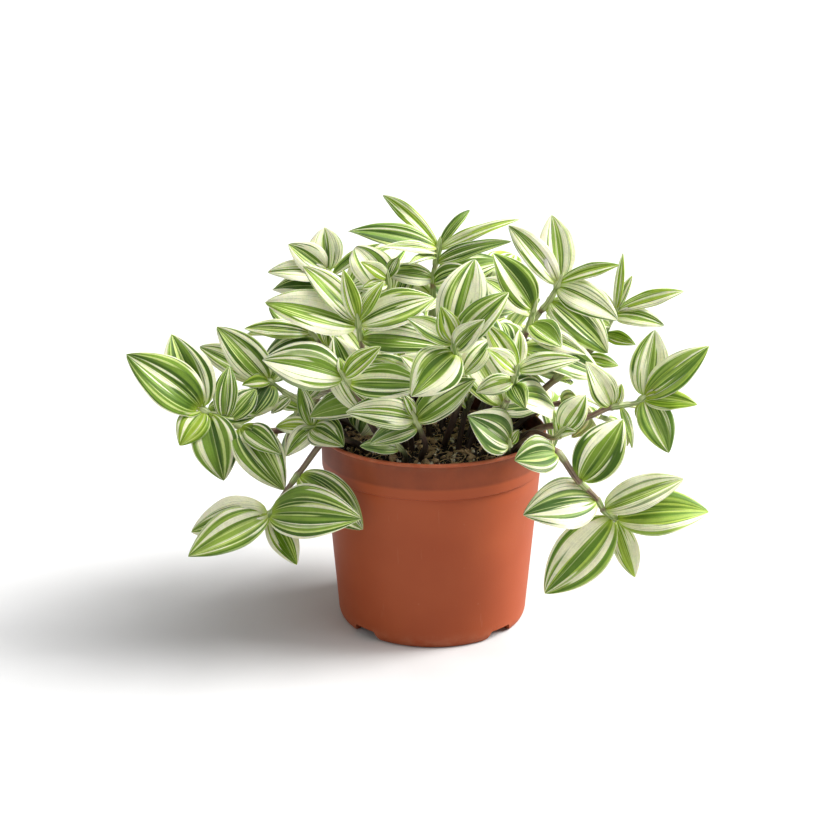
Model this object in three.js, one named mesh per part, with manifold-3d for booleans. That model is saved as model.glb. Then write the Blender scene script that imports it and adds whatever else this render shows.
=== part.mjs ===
// A potted tradescantia: a plastic nursery pot filled with potting mix, and a mound of leafy
// trailing stems that stand in holes in the mix. Millimetres, +Z up, viewer at -Y.
// The plant is laid out round the pot's axis, and the finished group is moved so that the middle
// of its bounding box stands over the origin.
import * as THREE from "three";
import { mergeVertices } from "three/addons/utils/BufferGeometryUtils.js";
import Module from "manifold-3d";

const wasm = await Module();
wasm.setup();

// Pot
const POT_HEIGHT = 105;
const RIM_RADIUS = 60;
const LIP_HEIGHT = 1.8;
const LIP_OVERHANG = 0.7;
const LIP_EDGE = 0.4;
const LIP_WIDTH = 2.2;
const COLLAR_BOTTOM = 85.2;
const COLLAR_STEP = 1.2;
const COLLAR_RISE = 0.8;
const INNER_RISE = 1.5;
const WALL_TOP_RADIUS = 57.6;
const WALL_BOTTOM_RADIUS = 51;
const WALL_BOTTOM = 5.8;
const FOOT_CORNER = 2.6;
const WALL = 1.6;
const FOOT_RADIUS = 48;
const FOOT_WIDTH = 2.6;
const FOOT_BEVEL = 0.6;
const UNDERSIDE = 5.6;
const FLOOR_TOP = 7.2;
const FLOOR_BEVEL = 0.4;
const POT_SIDES = 28;
const NOTCH_ANGLES = [45, 135, 225, 315];
const NOTCH_HEIGHT = 5.2;
const NOTCH_TOP_HALF = 6.2;
const NOTCH_FOOT_HALF = 10.4;
const NOTCH_FROM = 16;
const NOTCH_TO = 40;
const PAST = 1;
const DRAIN_ANGLES = [0, 90, 180, 270];
const DRAIN_RING = 30;
const DRAIN_RADIUS = 4.5;
const DRAIN_SIDES = 8;

// Potting mix
const GAP = 0.3;
const SOIL_LEVEL = 98;
const SOIL_CROWN = 1.5;
const SOIL_SHOULDER = 3;
const SOIL_FOOT_INSET = 1.6;
const SOIL_WALL_INSET = 0.9;
const SOIL_MOUTH_INSET = 0.8;
const SOIL_SIDES = 24;
const HOLE_RADIUS = 3.5;
const HOLE_DEPTH = 11;
const HOLE_SIDES = 5;

// Stems
const STEM_RADIUS = 1.8;
const STEM_SIDES = 5;
const STEPS_PER_POINT = 2;
const STEM_FOOT = SOIL_LEVEL - HOLE_DEPTH + 1;
const STEM_RISE = 2;

// Leaves
const BLADE_THICKNESS = 0.8;
const ROOT_OUT = 1;
const ROOT_BACK = 2;
const LARGE_STATIONS = [0.22, 0.5, 0.78];
const STATIONS = [0.3, 0.68];
const SMALL_STATIONS = [0.42];
const LARGE_LEAF = 38;
const SMALL_LEAF = 18;
const CLEAR_FROM = 0.3;
const OUTLINE_LEAN = 0.85;
const OUTLINE_ROOT = 0.6;
const OUTLINE_TIP = 0.8;
const FOLD = 0.2;
const WAVE = 0.022;
const ARCH = 0.05;
const ARCH_SPREAD = 0.09;
const ARCH_LEAN = 0.25;
const FACE_TILT = 35;
const FACE_SPREAD = 24;
const BENDS = [7, 14, 21, 30, 40, 52];
const SMALL_BEND = 14;
const SEED = 2807;

// Colours
const POT_COLOUR = 0xa85a3a;
const SOIL_COLOUR = 0x241a14;
const LEAF_COLOURS = [0x7a9a4a, 0x5f8a3c, 0x9db46a, 0xc9cfa6];

// Every leafy stem that shows from the front. root is where it stands in the mix, route the points
// that it passes, the last of them its growing tip. Each leaf is
// [distance back from the tip, length, azimuth, elevation, width], and face the azimuth that the
// upper faces look towards. Azimuth 0 is +X and 270 the viewer.
const FRONT_STEMS = [
  {
    name: "stem_left_long", root: [-46, -4], face: 270, grown: [0, 0],
    route: [[-57, -8, 113], [-70, -18, 111], [-84, -25, 111], [-101, -22, 113], [-121, -20, 122]],
    leaves: [
      [2, 48, 196, 42, 26], [3, 42, 158, 67, 26], [3, 17, 210, 5, 8], [4, 23, 232, -36, 17],
      [6, 36, 300, -62, 24], [4, 28, 20, -10, 17], [23, 42, 320, -40, 24], [27, 28, 320, -20, 14],
      [15, 28, 75, 70, 13], [17, 24, 45, 35, 14],
    ],
  },
  {
    name: "stem_left_hanging", root: [-34, -26], face: 270, grown: [0, 0],
    route: [[-45, -32, 109], [-54, -37, 111], [-66, -43, 97], [-73, -46, 88], [-84, -50, 73]],
    leaves: [
      [3, 41, 190, -10, 22], [2, 46, 202, -22, 21], [2, 29, 320, -50, 15], [2, 49, 342, 5, 28],
      [27, 43, 340, -35, 23],
    ],
  },
  {
    name: "stem_right_hanging", root: [41, -30], face: 270, grown: [0, 0],
    route: [
      [47, -40, 111], [53, -52, 113], [62, -58, 110], [71, -58, 97], [81, -55, 86], [87, -50, 76],
      [94, -45, 70],
    ],
    leaves: [
      [55, 24, 205, 0, 20], [36, 38, 15, 55, 24], [21, 40, 200, -3, 27], [4, 52, 200, -45, 28],
      [13, 43, 355, 25, 18], [2, 47, 352, 8, 25], [2, 32, 320, -65, 13],
    ],
  },
  {
    name: "stem_right_long", root: [40, -18], face: 270, grown: [0, 0],
    route: [
      [54, -25, 112], [66, -32, 117], [78, -36, 122], [90, -32, 126], [103, -28, 127],
      [109, -25, 130],
    ],
    leaves: [
      [2, 35, 55, 75, 20], [2, 42, 0, 40, 17], [3, 29, 330, 4, 12], [2, 31, 305, -50, 18],
      [5, 9, 255, -55, 4], [4, 14, 310, -75, 4], [21, 29, 200, 60, 15], [18, 12, 0, 80, 6],
      [16, 23, 295, -55, 5],
    ],
  },
  {
    name: "stem_centre_front", root: [6, -16], face: 270, grown: [34, 3],
    route: [[10, -40, 122], [14, -60, 146], [9, -70, 172]],
    leaves: [
      [2, 41, 50, 68, 25], [4, 37, 0, 45, 16], [6, 25, 335, 45, 12], [2, 20, 215, 68, 12],
      [2, 14, 0, 80, 5], [3, 26, 195, 35, 12], [8, 32, 220, -30, 24], [22, 23, 30, 45, 12],
    ],
  },
  {
    name: "stem_top", root: [-2, -2], face: 270, grown: [20, 6],
    route: [[-1, -4, 140], [0, -5, 183], [3, -5, 204]],
    leaves: [
      [2, 49, 200, 15, 13], [5, 38, 215, 10, 6], [2, 41, 152, 38, 9], [2, 26, 30, 45, 6],
      [3, 44, 0, 22, 7], [10, 41, 345, 20, 9], [7, 24, 235, 5, 6], [18, 27, 205, 12, 13],
      [20, 24, 325, 25, 12], [30, 27, 262, 5, 16],
    ],
  },
  {
    name: "stem_upper_right", root: [18, -6], face: 270, grown: [18, 5],
    route: [[34, -8, 135], [50, -11, 164], [59, -14, 177], [64, -15, 188]],
    leaves: [
      [3, 39, 170, 50, 15], [2, 35, 105, 70, 19], [2, 32, 350, 20, 8], [4, 37, 325, -18, 18],
      [12, 40, 330, -34, 22],
    ],
  },
  {
    name: "stem_upper_left", root: [-14, -18], face: 270, grown: [26, 4],
    route: [[-24, -32, 132], [-34, -42, 156], [-37, -50, 177]],
    leaves: [
      [5, 47, 185, 17, 22], [2, 38, 160, 40, 15], [2, 27, 190, 75, 9], [2, 24, 0, 58, 8],
      [4, 39, 0, 21, 20], [12, 44, 340, 0, 17], [26, 36, 345, -22, 17],
    ],
  },
  {
    name: "stem_front_left", root: [-20, -28], face: 270, grown: [22, 3],
    route: [[-30, -42, 118], [-36, -50, 135], [-44, -62, 152]],
    leaves: [
      [3, 41, 185, 15, 24], [2, 27, 330, 42, 11], [2, 10, 160, 75, 5], [7, 40, 340, 5, 19],
      [10, 28, 355, -15, 14],
    ],
  },
  {
    name: "stem_front_right", root: [26, -32], face: 270, grown: [26, 2],
    route: [[30, -38, 116], [37, -52, 138], [40, -68, 157]],
    leaves: [
      [3, 27, 160, 55, 12], [2, 20, 80, 65, 8], [2, 31, 345, 15, 11], [4, 23, 215, 40, 11],
      [11, 20, 200, -10, 11], [15, 17, 290, -25, 11],
    ],
  },
  {
    name: "stem_front_low", root: [-6, -34], face: 270, grown: [0, 0],
    route: [[-4, -48, 112], [-10, -60, 131]],
    leaves: [
      [3, 36, 190, 5, 18], [2, 14, 210, 65, 6], [4, 38, 350, 36, 18], [9, 26, 200, -13, 13],
    ],
  },
  {
    name: "stem_right_crown", root: [18, -20], face: 270, grown: [26, 4],
    route: [[34, -25, 135], [46, -31, 163], [50, -36, 180]],
    leaves: [
      [3, 35, 180, 55, 18], [11, 22, 315, -20, 15], [15, 32, 335, -15, 12],
    ],
  },
  {
    name: "stem_right_high", root: [34, -2], face: 270, grown: [0, 0],
    route: [[56, -4, 125], [80, -5, 147], [89, -5, 159], [95, -5, 171]],
    leaves: [
      [3, 31, 60, 77, 5], [2, 20, 0, 70, 5], [2, 36, 350, 20, 9], [5, 27, 335, -3, 11],
      [16, 20, 320, -5, 8], [4, 16, 180, 60, 4], [33, 20, 350, -8, 8], [26, 30, 160, 35, 15],
      [40, 34, 95, 35, 17], [50, 36, 60, 10, 18],
    ],
  },
  {
    name: "stem_left_mid", root: [-36, 4], face: 270, grown: [0, 0],
    route: [[-50, 2, 109], [-59, 0, 113], [-75, 3, 121], [-88, 5, 130]],
    leaves: [
      [2, 40, 190, 50, 20], [3, 17, 210, 0, 8], [4, 22, 238, -35, 17], [16, 15, 225, -25, 7],
      [4, 44, 166, 24, 17], [22, 26, 35, 45, 12], [3, 22, 20, 50, 15],
    ],
  },
  {
    name: "stem_left_crown", root: [-16, 4], face: 270, grown: [14, 5],
    route: [[-30, 6, 140], [-46, 10, 174], [-56, 15, 187]],
    leaves: [
      [2, 25, 180, 36, 16], [3, 25, 105, 64, 19], [3, 32, 190, 4, 13], [5, 32, 350, 35, 7],
    ],
  },
  {
    name: "stem_left_behind", root: [-26, 18], face: 270, grown: [14, 4],
    route: [[-40, 26, 118], [-56, 35, 137], [-72, 45, 149]],
    leaves: [
      [2, 32, 190, -5, 7], [3, 23, 170, 30, 14], [8, 37, 190, 5, 11], [4, 22, 90, 65, 12],
    ],
  },
  {
    name: "stem_rim_left", root: [-43, -16], face: 270, grown: [0, 0],
    route: [[-52, -20, 111], [-63, -29, 114]],
    leaves: [
      [2, 24, 180, 75, 9], [3, 16, 0, 65, 10], [4, 22, 220, -30, 12], [2, 24, 322, -20, 19],
      [3, 20, 185, 5, 10],
    ],
  },
  {
    name: "stem_rim_right", root: [44, -24], face: 270, grown: [0, 0],
    route: [[50, -33, 113], [60, -48, 115], [64, -56, 122]],
    leaves: [
      [2, 22, 0, 60, 15], [6, 14, 310, 20, 6], [7, 14, 180, 80, 4],
    ],
  },
  {
    name: "stem_soil_right", root: [38, -34], face: 270, grown: [0, 0],
    route: [[38, -38, 104], [38, -46, 112]],
    leaves: [
      [2, 31, 212, 38, 23], [3, 10, 325, 60, 6],
    ],
  },
  {
    name: "stem_soil_left", root: [-14, -44], face: 270, grown: [0, 0],
    route: [[-14, -48, 106], [-17, -53, 112]],
    leaves: [
      [2, 21, 195, 10, 9],
    ],
  },
  {
    name: "stem_top_left", root: [-8, -10], face: 270, grown: [12, 5],
    route: [[-15, -16, 150], [-21, -20, 179], [-23, -22, 192]],
    leaves: [
      [2, 17, 200, 35, 8], [2, 12, 30, 60, 7], [5, 16, 220, 5, 7],
    ],
  },
  {
    name: "stem_top_right", root: [10, 10], face: 270, grown: [9, 6],
    route: [[22, 18, 146], [28, 25, 172], [33, 30, 184]],
    leaves: [
      [2, 18, 180, 25, 10], [3, 13, 25, 25, 7],
    ],
  },
];

// The stems that the front hides grow by rule, in rings over the back and inside of the mound:
// the polar angle from straight up, the reach from the mound's centre, and the azimuths.
const MOUND_CENTRE = [0, 0, 105];
const ROOT_RING = 46;
const ROOT_POLAR = 95;
const RINGS = [
  { name: "stem_back_low", polar: 94, reach: 92, leaves: 6, azimuths: [14, 42, 72, 104, 134, 160] },
  { name: "stem_back_mid", polar: 66, reach: 90, leaves: 6, azimuths: [28, 60, 92, 124] },
  { name: "stem_back_high", polar: 36, reach: 88, leaves: 5, azimuths: [72, 122] },
  { name: "stem_inner", polar: 52, reach: 48, leaves: 4, azimuths: [188, 214, 246, 300, 328, 354] },
];
const POLAR_SPREAD = 10;
const REACH_SPREAD = 0.2;
const SHOULDER = 0.45;
const SHOULDER_RISE = 0.62;
const RIM_CLEARANCE = 2;
const GROWN_SPACING = 7;
const GROWN_STRETCH = 0.12;
const GROWN_AGE = 26;
const YOUNG_OPENING = 24;
const OLD_OPENING = 78;
const YOUNG_LEAF = 20;
const OLD_LEAF = 42;
const LENGTH_SPREAD = 0.3;
const GROWN_WIDTH = 0.52;
const WIDTH_SPREAD = 0.08;
const GROWN_FACE_TILT = 50;
const GROWN_FACE_SPREAD = 60;
const GROWN_TURN = 197;
const GROWN_DROOP = 0.15;
// The mix shows below the front leaves, so no leaf set by rule ends in this part of the view.
const OPEN_FRONT = { halfWidth: 48, before: -12, below: 128 };

const UP = new THREE.Vector3(0, 0, 1);

// A value spread evenly about its middle by a random number from 0 to 1.
function spread(middle, width, random) {
  return middle + width * (random() - 0.5);
}

// Small repeatable random numbers from 0 to 1.
function seeded(seed) {
  let state = seed;
  return () => {
    state = (Math.imul(state, 1664525) + 1013904223) >>> 0;
    return state / 4294967296;
  };
}

function direction(azimuth, elevation) {
  const a = THREE.MathUtils.degToRad(azimuth);
  const e = THREE.MathUtils.degToRad(elevation);
  return new THREE.Vector3(Math.cos(a) * Math.cos(e), Math.sin(a) * Math.cos(e), Math.sin(e));
}

function solidOf(geometry) {
  const bare = geometry.index ? geometry.toNonIndexed() : geometry.clone();
  bare.deleteAttribute("normal");
  bare.deleteAttribute("uv");
  const merged = mergeVertices(bare, 1e-4);
  return new wasm.Manifold(new wasm.Mesh({
    numProp: 3,
    vertProperties: merged.attributes.position.array,
    triVerts: new Uint32Array(merged.index.array),
  }));
}

function meshOf(solid, name, colour, roughness) {
  const made = solid.getMesh();
  const geometry = new THREE.BufferGeometry();
  geometry.setAttribute("position", new THREE.BufferAttribute(made.vertProperties, 3));
  geometry.setIndex(new THREE.BufferAttribute(made.triVerts, 1));
  geometry.computeVertexNormals();
  const material = new THREE.MeshStandardMaterial({ color: colour, roughness, metalness: 0 });
  const mesh = new THREE.Mesh(geometry, material);
  mesh.name = name;
  return mesh;
}

function turned(profile, sides) {
  const points = profile.map(([radius, height]) => new THREE.Vector2(radius, height));
  return solidOf(new THREE.LatheGeometry(points, sides).rotateX(Math.PI / 2));
}

// Radius of the outer wall at a height.
function wallRadius(z) {
  const share = (z - WALL_BOTTOM) / (COLLAR_BOTTOM - WALL_BOTTOM);
  return WALL_BOTTOM_RADIUS + share * (WALL_TOP_RADIUS - WALL_BOTTOM_RADIUS);
}

function potSolid() {
  const collarRadius = WALL_TOP_RADIUS + COLLAR_STEP;
  const lipBottom = POT_HEIGHT - LIP_HEIGHT;
  const innerRadius = collarRadius - WALL;
  let pot = turned([
    [0, UNDERSIDE], [FOOT_RADIUS - FOOT_WIDTH - FOOT_BEVEL, UNDERSIDE],
    [FOOT_RADIUS - FOOT_WIDTH, 0], [FOOT_RADIUS, 0],
    [WALL_BOTTOM_RADIUS - FOOT_BEVEL, FOOT_CORNER], [WALL_BOTTOM_RADIUS, WALL_BOTTOM],
    [WALL_TOP_RADIUS, COLLAR_BOTTOM], [collarRadius, COLLAR_BOTTOM + COLLAR_RISE],
    [RIM_RADIUS - LIP_OVERHANG, lipBottom], [RIM_RADIUS, lipBottom + LIP_EDGE],
    [RIM_RADIUS - LIP_EDGE, POT_HEIGHT], [RIM_RADIUS - LIP_WIDTH, POT_HEIGHT],
    [innerRadius, COLLAR_BOTTOM + INNER_RISE], [WALL_TOP_RADIUS - WALL, COLLAR_BOTTOM],
    [wallRadius(FLOOR_TOP) - WALL - FLOOR_BEVEL, FLOOR_TOP], [0, FLOOR_TOP],
  ], POT_SIDES);
  for (const angle of NOTCH_ANGLES) {
    const outline = new THREE.Shape([
      new THREE.Vector2(-NOTCH_FOOT_HALF, -PAST), new THREE.Vector2(NOTCH_FOOT_HALF, -PAST),
      new THREE.Vector2(NOTCH_TOP_HALF, NOTCH_HEIGHT),
      new THREE.Vector2(-NOTCH_TOP_HALF, NOTCH_HEIGHT),
    ]);
    const settings = { depth: NOTCH_TO - NOTCH_FROM, bevelEnabled: false };
    const wedge = new THREE.ExtrudeGeometry(outline, settings);
    wedge.rotateX(Math.PI / 2).translate(0, -NOTCH_TO, 0);
    wedge.rotateZ(THREE.MathUtils.degToRad(angle + 90));
    pot = pot.subtract(solidOf(wedge));
  }
  for (const angle of DRAIN_ANGLES) {
    const drain = new THREE.CylinderGeometry(DRAIN_RADIUS, DRAIN_RADIUS, 4 * WALL, DRAIN_SIDES);
    const spot = direction(angle, 0).multiplyScalar(DRAIN_RING);
    drain.rotateX(Math.PI / 2).translate(spot.x, spot.y, (UNDERSIDE + FLOOR_TOP) / 2);
    pot = pot.subtract(solidOf(drain));
  }
  return pot;
}

function soilSolid(roots) {
  const bottom = FLOOR_TOP + GAP;
  const mouth = WALL_TOP_RADIUS + COLLAR_STEP - WALL - SOIL_MOUTH_INSET;
  let soil = turned([
    [0, bottom], [wallRadius(bottom) - WALL - SOIL_FOOT_INSET, bottom],
    [wallRadius(COLLAR_BOTTOM) - WALL - SOIL_WALL_INSET, COLLAR_BOTTOM],
    [mouth, SOIL_LEVEL - SOIL_SHOULDER], [mouth - SOIL_SHOULDER, SOIL_LEVEL],
    [0, SOIL_LEVEL + SOIL_CROWN],
  ], SOIL_SIDES);
  for (const [x, y] of roots) {
    const hole = new THREE.CylinderGeometry(HOLE_RADIUS, HOLE_RADIUS, 2 * HOLE_DEPTH, HOLE_SIDES);
    hole.rotateX(Math.PI / 2).translate(x, y, SOIL_LEVEL);
    soil = soil.subtract(solidOf(hole));
  }
  return soil;
}

function stemCurve(stem) {
  const [x, y] = stem.root;
  const points = [[x, y, STEM_FOOT], [x, y, SOIL_LEVEL + STEM_RISE], ...stem.route];
  const vectors = points.map((p) => new THREE.Vector3(...p));
  return new THREE.CatmullRomCurve3(vectors, false, "catmullrom");
}

function stemSolid(curve) {
  const section = new THREE.Shape();
  for (let i = 0; i < STEM_SIDES; i += 1) {
    const angle = (2 * Math.PI * i) / STEM_SIDES;
    const corner = [STEM_RADIUS * Math.cos(angle), STEM_RADIUS * Math.sin(angle)];
    if (i === 0) section.moveTo(...corner);
    else section.lineTo(...corner);
  }
  const steps = STEPS_PER_POINT * (curve.points.length - 1);
  return solidOf(new THREE.ExtrudeGeometry(section, { steps, extrudePath: curve }));
}

// A leaf's half width as a share of its greatest, from root 0 to tip 1.
function outline(v) {
  const power = OUTLINE_ROOT + (OUTLINE_TIP - OUTLINE_ROOT) * v;
  return Math.sin(Math.PI * v ** OUTLINE_LEAN) ** power;
}

function stationsOf(leaf) {
  if (leaf.length >= LARGE_LEAF) return LARGE_STATIONS;
  return leaf.length < SMALL_LEAF ? SMALL_STATIONS : STATIONS;
}

// The leaf's own axes: along it, across it, and up from its upper face.
function leafAxes(leaf, pitch, yaw) {
  let along = leaf.along.clone();
  let up = leaf.facing.clone().addScaledVector(along, -leaf.facing.dot(along)).normalize();
  const across = new THREE.Vector3().crossVectors(up, along);
  along.applyAxisAngle(across, THREE.MathUtils.degToRad(pitch));
  along.applyAxisAngle(up, THREE.MathUtils.degToRad(yaw));
  up = leaf.facing.clone().addScaledVector(along, -leaf.facing.dot(along)).normalize();
  across.crossVectors(up, along);
  return { along, across, up };
}

// A point on the middle of the blade: v from root to tip, u from -1 to 1 across.
function bladePoint(leaf, axes, v, u, half) {
  const lean = 1 + ARCH_LEAN * (1 - 2 * v);
  const arch = leaf.arch * leaf.length * 4 * v * (1 - v) * lean;
  const wave = WAVE * leaf.length * u * Math.sin(2 * Math.PI * (v + leaf.phase));
  const rise = arch + FOLD * half * Math.abs(u) + wave;
  return leaf.base.clone()
    .addScaledVector(axes.along, ROOT_OUT + (leaf.length - ROOT_OUT) * v)
    .addScaledVector(axes.across, half * u)
    .addScaledVector(axes.up, rise);
}

function bladeSolid(leaf, axes, extra, from = 0) {
  const rows = [[[from, 0]]];
  for (const v of stationsOf(leaf).filter((station) => station > from)) {
    rows.push([[v, -1], [v, 0], [v, 1]]);
  }
  rows.push([[1, 0]]);
  const lift = BLADE_THICKNESS / 2 + extra;
  const vertices = [];
  const indexRows = rows.map((row) => row.map(([v, u]) => {
    const half = (leaf.width / 2) * outline(v) + extra;
    const middle = bladePoint(leaf, axes, v, u, half);
    if (v === 1) middle.addScaledVector(axes.along, extra);
    for (const side of [1, -1]) {
      vertices.push(...middle.clone().addScaledVector(axes.up, side * lift).toArray());
    }
    return vertices.length / 6 - 1;
  }));
  const faces = [];
  for (let i = 0; i + 1 < indexRows.length; i += 1) {
    const a = indexRows[i];
    const b = indexRows[i + 1];
    if (b.length === 1) faces.push([a[0], b[0], a[1]], [a[1], b[0], a[2]]);
    else if (a.length === 1) faces.push([a[0], b[0], b[1]], [a[0], b[1], b[2]]);
    else faces.push([a[0], b[0], b[1]], [a[0], b[1], a[1]], [a[1], b[1], b[2]], [a[1], b[2], a[2]]);
  }
  const left = indexRows.map((row) => row[0]);
  const right = indexRows.slice(1, -1).map((row) => row[row.length - 1]).reverse();
  const rim = [...left, ...right];
  const triangles = [];
  for (const [p, q, r] of faces) {
    triangles.push(2 * p, 2 * q, 2 * r, 2 * p + 1, 2 * r + 1, 2 * q + 1);
  }
  rim.forEach((p, i) => {
    const q = rim[(i + 1) % rim.length];
    triangles.push(2 * q, 2 * p, 2 * p + 1, 2 * q, 2 * p + 1, 2 * q + 1);
  });
  return new wasm.Manifold(new wasm.Mesh({
    numProp: 3,
    vertProperties: new Float32Array(vertices),
    triVerts: new Uint32Array(triangles),
  }));
}

// The leaves of a stem laid out by hand.
function placedLeaves(stem, curve, random) {
  const length = curve.getLength();
  return stem.leaves.map(([back, long, azimuth, elevation, width]) => ({
    base: curve.getPointAt(1 - Math.max(back, ROOT_BACK) / length),
    along: direction(azimuth, elevation),
    facing: direction(spread(stem.face, FACE_SPREAD, random), FACE_TILT),
    length: long,
    width,
    arch: ARCH + ARCH_SPREAD * random(),
    phase: random(),
  }));
}

// Leaves set by rule: in two ranks that turn slowly round the stem, opening wider and growing
// longer away from its tip.
function grownLeaves(stem, curve, random) {
  const length = curve.getLength();
  const start = 360 * random();
  const [from, count] = stem.grown;
  const leaves = [];
  for (let i = 0; i < count; i += 1) {
    const back = from + GROWN_SPACING * i * (1 + GROWN_STRETCH * i);
    const at = 1 - back / length;
    const axis = curve.getTangentAt(at);
    const first = new THREE.Vector3().crossVectors(axis, UP).normalize();
    const second = new THREE.Vector3().crossVectors(axis, first);
    const age = Math.min(1, back / GROWN_AGE);
    const turn = THREE.MathUtils.degToRad(start + GROWN_TURN * i);
    const open = THREE.MathUtils.degToRad(YOUNG_OPENING + age * (OLD_OPENING - YOUNG_OPENING));
    const along = axis.clone().multiplyScalar(Math.cos(open))
      .addScaledVector(first, Math.sin(open) * Math.cos(turn))
      .addScaledVector(second, Math.sin(open) * Math.sin(turn))
      .addScaledVector(UP, -GROWN_DROOP * age)
      .normalize();
    if (stem.leaves.length) along.y = Math.abs(along.y);
    const grown = YOUNG_LEAF + Math.sin(Math.PI / 2 * age) * (OLD_LEAF - YOUNG_LEAF);
    const long = grown * spread(1, LENGTH_SPREAD, random);
    leaves.push({
      base: curve.getPointAt(at),
      along,
      facing: direction(spread(stem.face, GROWN_FACE_SPREAD, random), GROWN_FACE_TILT),
      length: long,
      width: long * spread(GROWN_WIDTH, WIDTH_SPREAD, random),
      arch: ARCH + ARCH_SPREAD * random(),
      phase: random(),
    });
  }
  return leaves.filter((leaf) => !endsInOpenFront(leaf));
}

function endsInOpenFront(leaf) {
  const tip = leaf.base.clone().addScaledVector(leaf.along, leaf.length);
  return Math.abs(tip.x) < OPEN_FRONT.halfWidth && tip.y < OPEN_FRONT.before
    && tip.z < OPEN_FRONT.below;
}

// The route of a stem that grows by rule: it rises from its root and leans out to its place in
// the mound, and one that leaves the pot passes over the rim.
function grownStem(ring, azimuth, index, random) {
  const polar = spread(ring.polar, POLAR_SPREAD, random);
  const out = direction(azimuth, 90 - polar);
  const flat = direction(azimuth, 0);
  const reach = ring.reach * spread(1, REACH_SPREAD, random);
  const tip = new THREE.Vector3(...MOUND_CENTRE).addScaledVector(out, reach);
  const rootRadius = ROOT_RING * Math.min(1, polar / ROOT_POLAR);
  const root = flat.clone().multiplyScalar(rootRadius);
  const shoulder = new THREE.Vector3().lerpVectors(root, tip, SHOULDER);
  const overRim = POT_HEIGHT + 3 * STEM_RADIUS + RIM_CLEARANCE;
  shoulder.z = Math.max(overRim, THREE.MathUtils.lerp(SOIL_LEVEL, tip.z, SHOULDER_RISE));
  return {
    name: ring.name + "_" + (index + 1),
    root: [root.x, root.y],
    face: azimuth,
    route: [shoulder.toArray(), tip.toArray()],
    leaves: [],
    grown: [ROOT_BACK, ring.leaves],
  };
}

function allStems() {
  const random = seeded(SEED);
  const grown = RINGS.flatMap((ring) =>
    ring.azimuths.map((azimuth, index) => grownStem(ring, azimuth, index, random)));
  return [...FRONT_STEMS, ...grown];
}

function boxed(owner, solid) {
  const { min, max } = solid.boundingBox();
  const box = new THREE.Box3(new THREE.Vector3(...min), new THREE.Vector3(...max));
  return { owner, solid, box };
}

function meets(solid, others) {
  const { box } = boxed(null, solid);
  const hit = others.some((other) => other.box.intersectsBox(box)
    && !other.solid.intersect(solid).isEmpty());
  solid.delete();
  return hit;
}

// Bends each leaf by the least turn that clears the pot, the mix and every other stem and leaf.
// Past its root a leaf also clears the leaves of its own stem; one laid out by hand may cross
// those where no small bend clears them, and any other leaf that finds no room is left out.
function growLeaves(stems, curves, fixed) {
  const stemBodies = curves.map(stemSolid);
  const others = [...fixed.map((solid) => boxed(null, solid)),
    ...stemBodies.map((solid, i) => boxed(stems[i], solid))];
  const blades = stems.map(() => []);
  const turns = [[0, 0]];
  for (const bend of BENDS) turns.push([-bend, 0], [bend, 0], [0, bend], [0, -bend]);

  function place(i, leaf, mayCross) {
    const foreign = [...others.filter((other) => other.owner !== stems[i]),
      ...blades.flatMap((list, j) => (j === i ? [] : list))];
    const free = turns.filter(([pitch, yaw]) =>
      !meets(bladeSolid(leaf, leafAxes(leaf, pitch, yaw), GAP), foreign));
    const apart = free.find(([pitch, yaw]) => (Math.abs(pitch + yaw) <= SMALL_BEND || !mayCross)
      && !meets(bladeSolid(leaf, leafAxes(leaf, pitch, yaw), 0, CLEAR_FROM), blades[i]));
    const bend = apart ?? (mayCross ? free[0] : undefined);
    if (bend) blades[i].push(boxed(stems[i], bladeSolid(leaf, leafAxes(leaf, ...bend), 0)));
  }

  stems.forEach((stem, i) => {
    const random = seeded(SEED + i);
    for (const leaf of placedLeaves(stem, curves[i], random)) place(i, leaf, true);
  });
  stems.forEach((stem, i) => {
    const random = seeded(SEED - i - 1);
    for (const leaf of grownLeaves(stem, curves[i], random)) place(i, leaf, false);
  });
  return stemBodies.map((body, i) =>
    blades[i].reduce((joined, blade) => joined.add(blade.solid), body));
}

const plant = new THREE.Group();
const stems = allStems();
const curves = stems.map(stemCurve);
const pot = potSolid();
const soil = soilSolid(stems.map((stem) => stem.root));
plant.add(meshOf(pot, "pot", POT_COLOUR, 0.5));
plant.add(meshOf(soil, "potting_mix", SOIL_COLOUR, 1));
growLeaves(stems, curves, [pot, soil]).forEach((body, i) => {
  plant.add(meshOf(body, stems[i].name, LEAF_COLOURS[i % LEAF_COLOURS.length], 0.45));
});

const box = new THREE.Box3().setFromObject(plant);
plant.position.set(-(box.min.x + box.max.x) / 2, -(box.min.y + box.max.y) / 2, -box.min.z);

export default plant;
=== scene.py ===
# A potted tradescantia, dressed round its packed frame: a moulded plastic pot, potting mix with its
# grains, chips and fibres, and the leafy stems with their striped leaves.
import math
from dataclasses import dataclass

import bmesh
import bpy
import numpy as np
from bpy.props import FloatProperty, FloatVectorProperty, IntProperty, PointerProperty
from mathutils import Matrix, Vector, kdtree, noise


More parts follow.
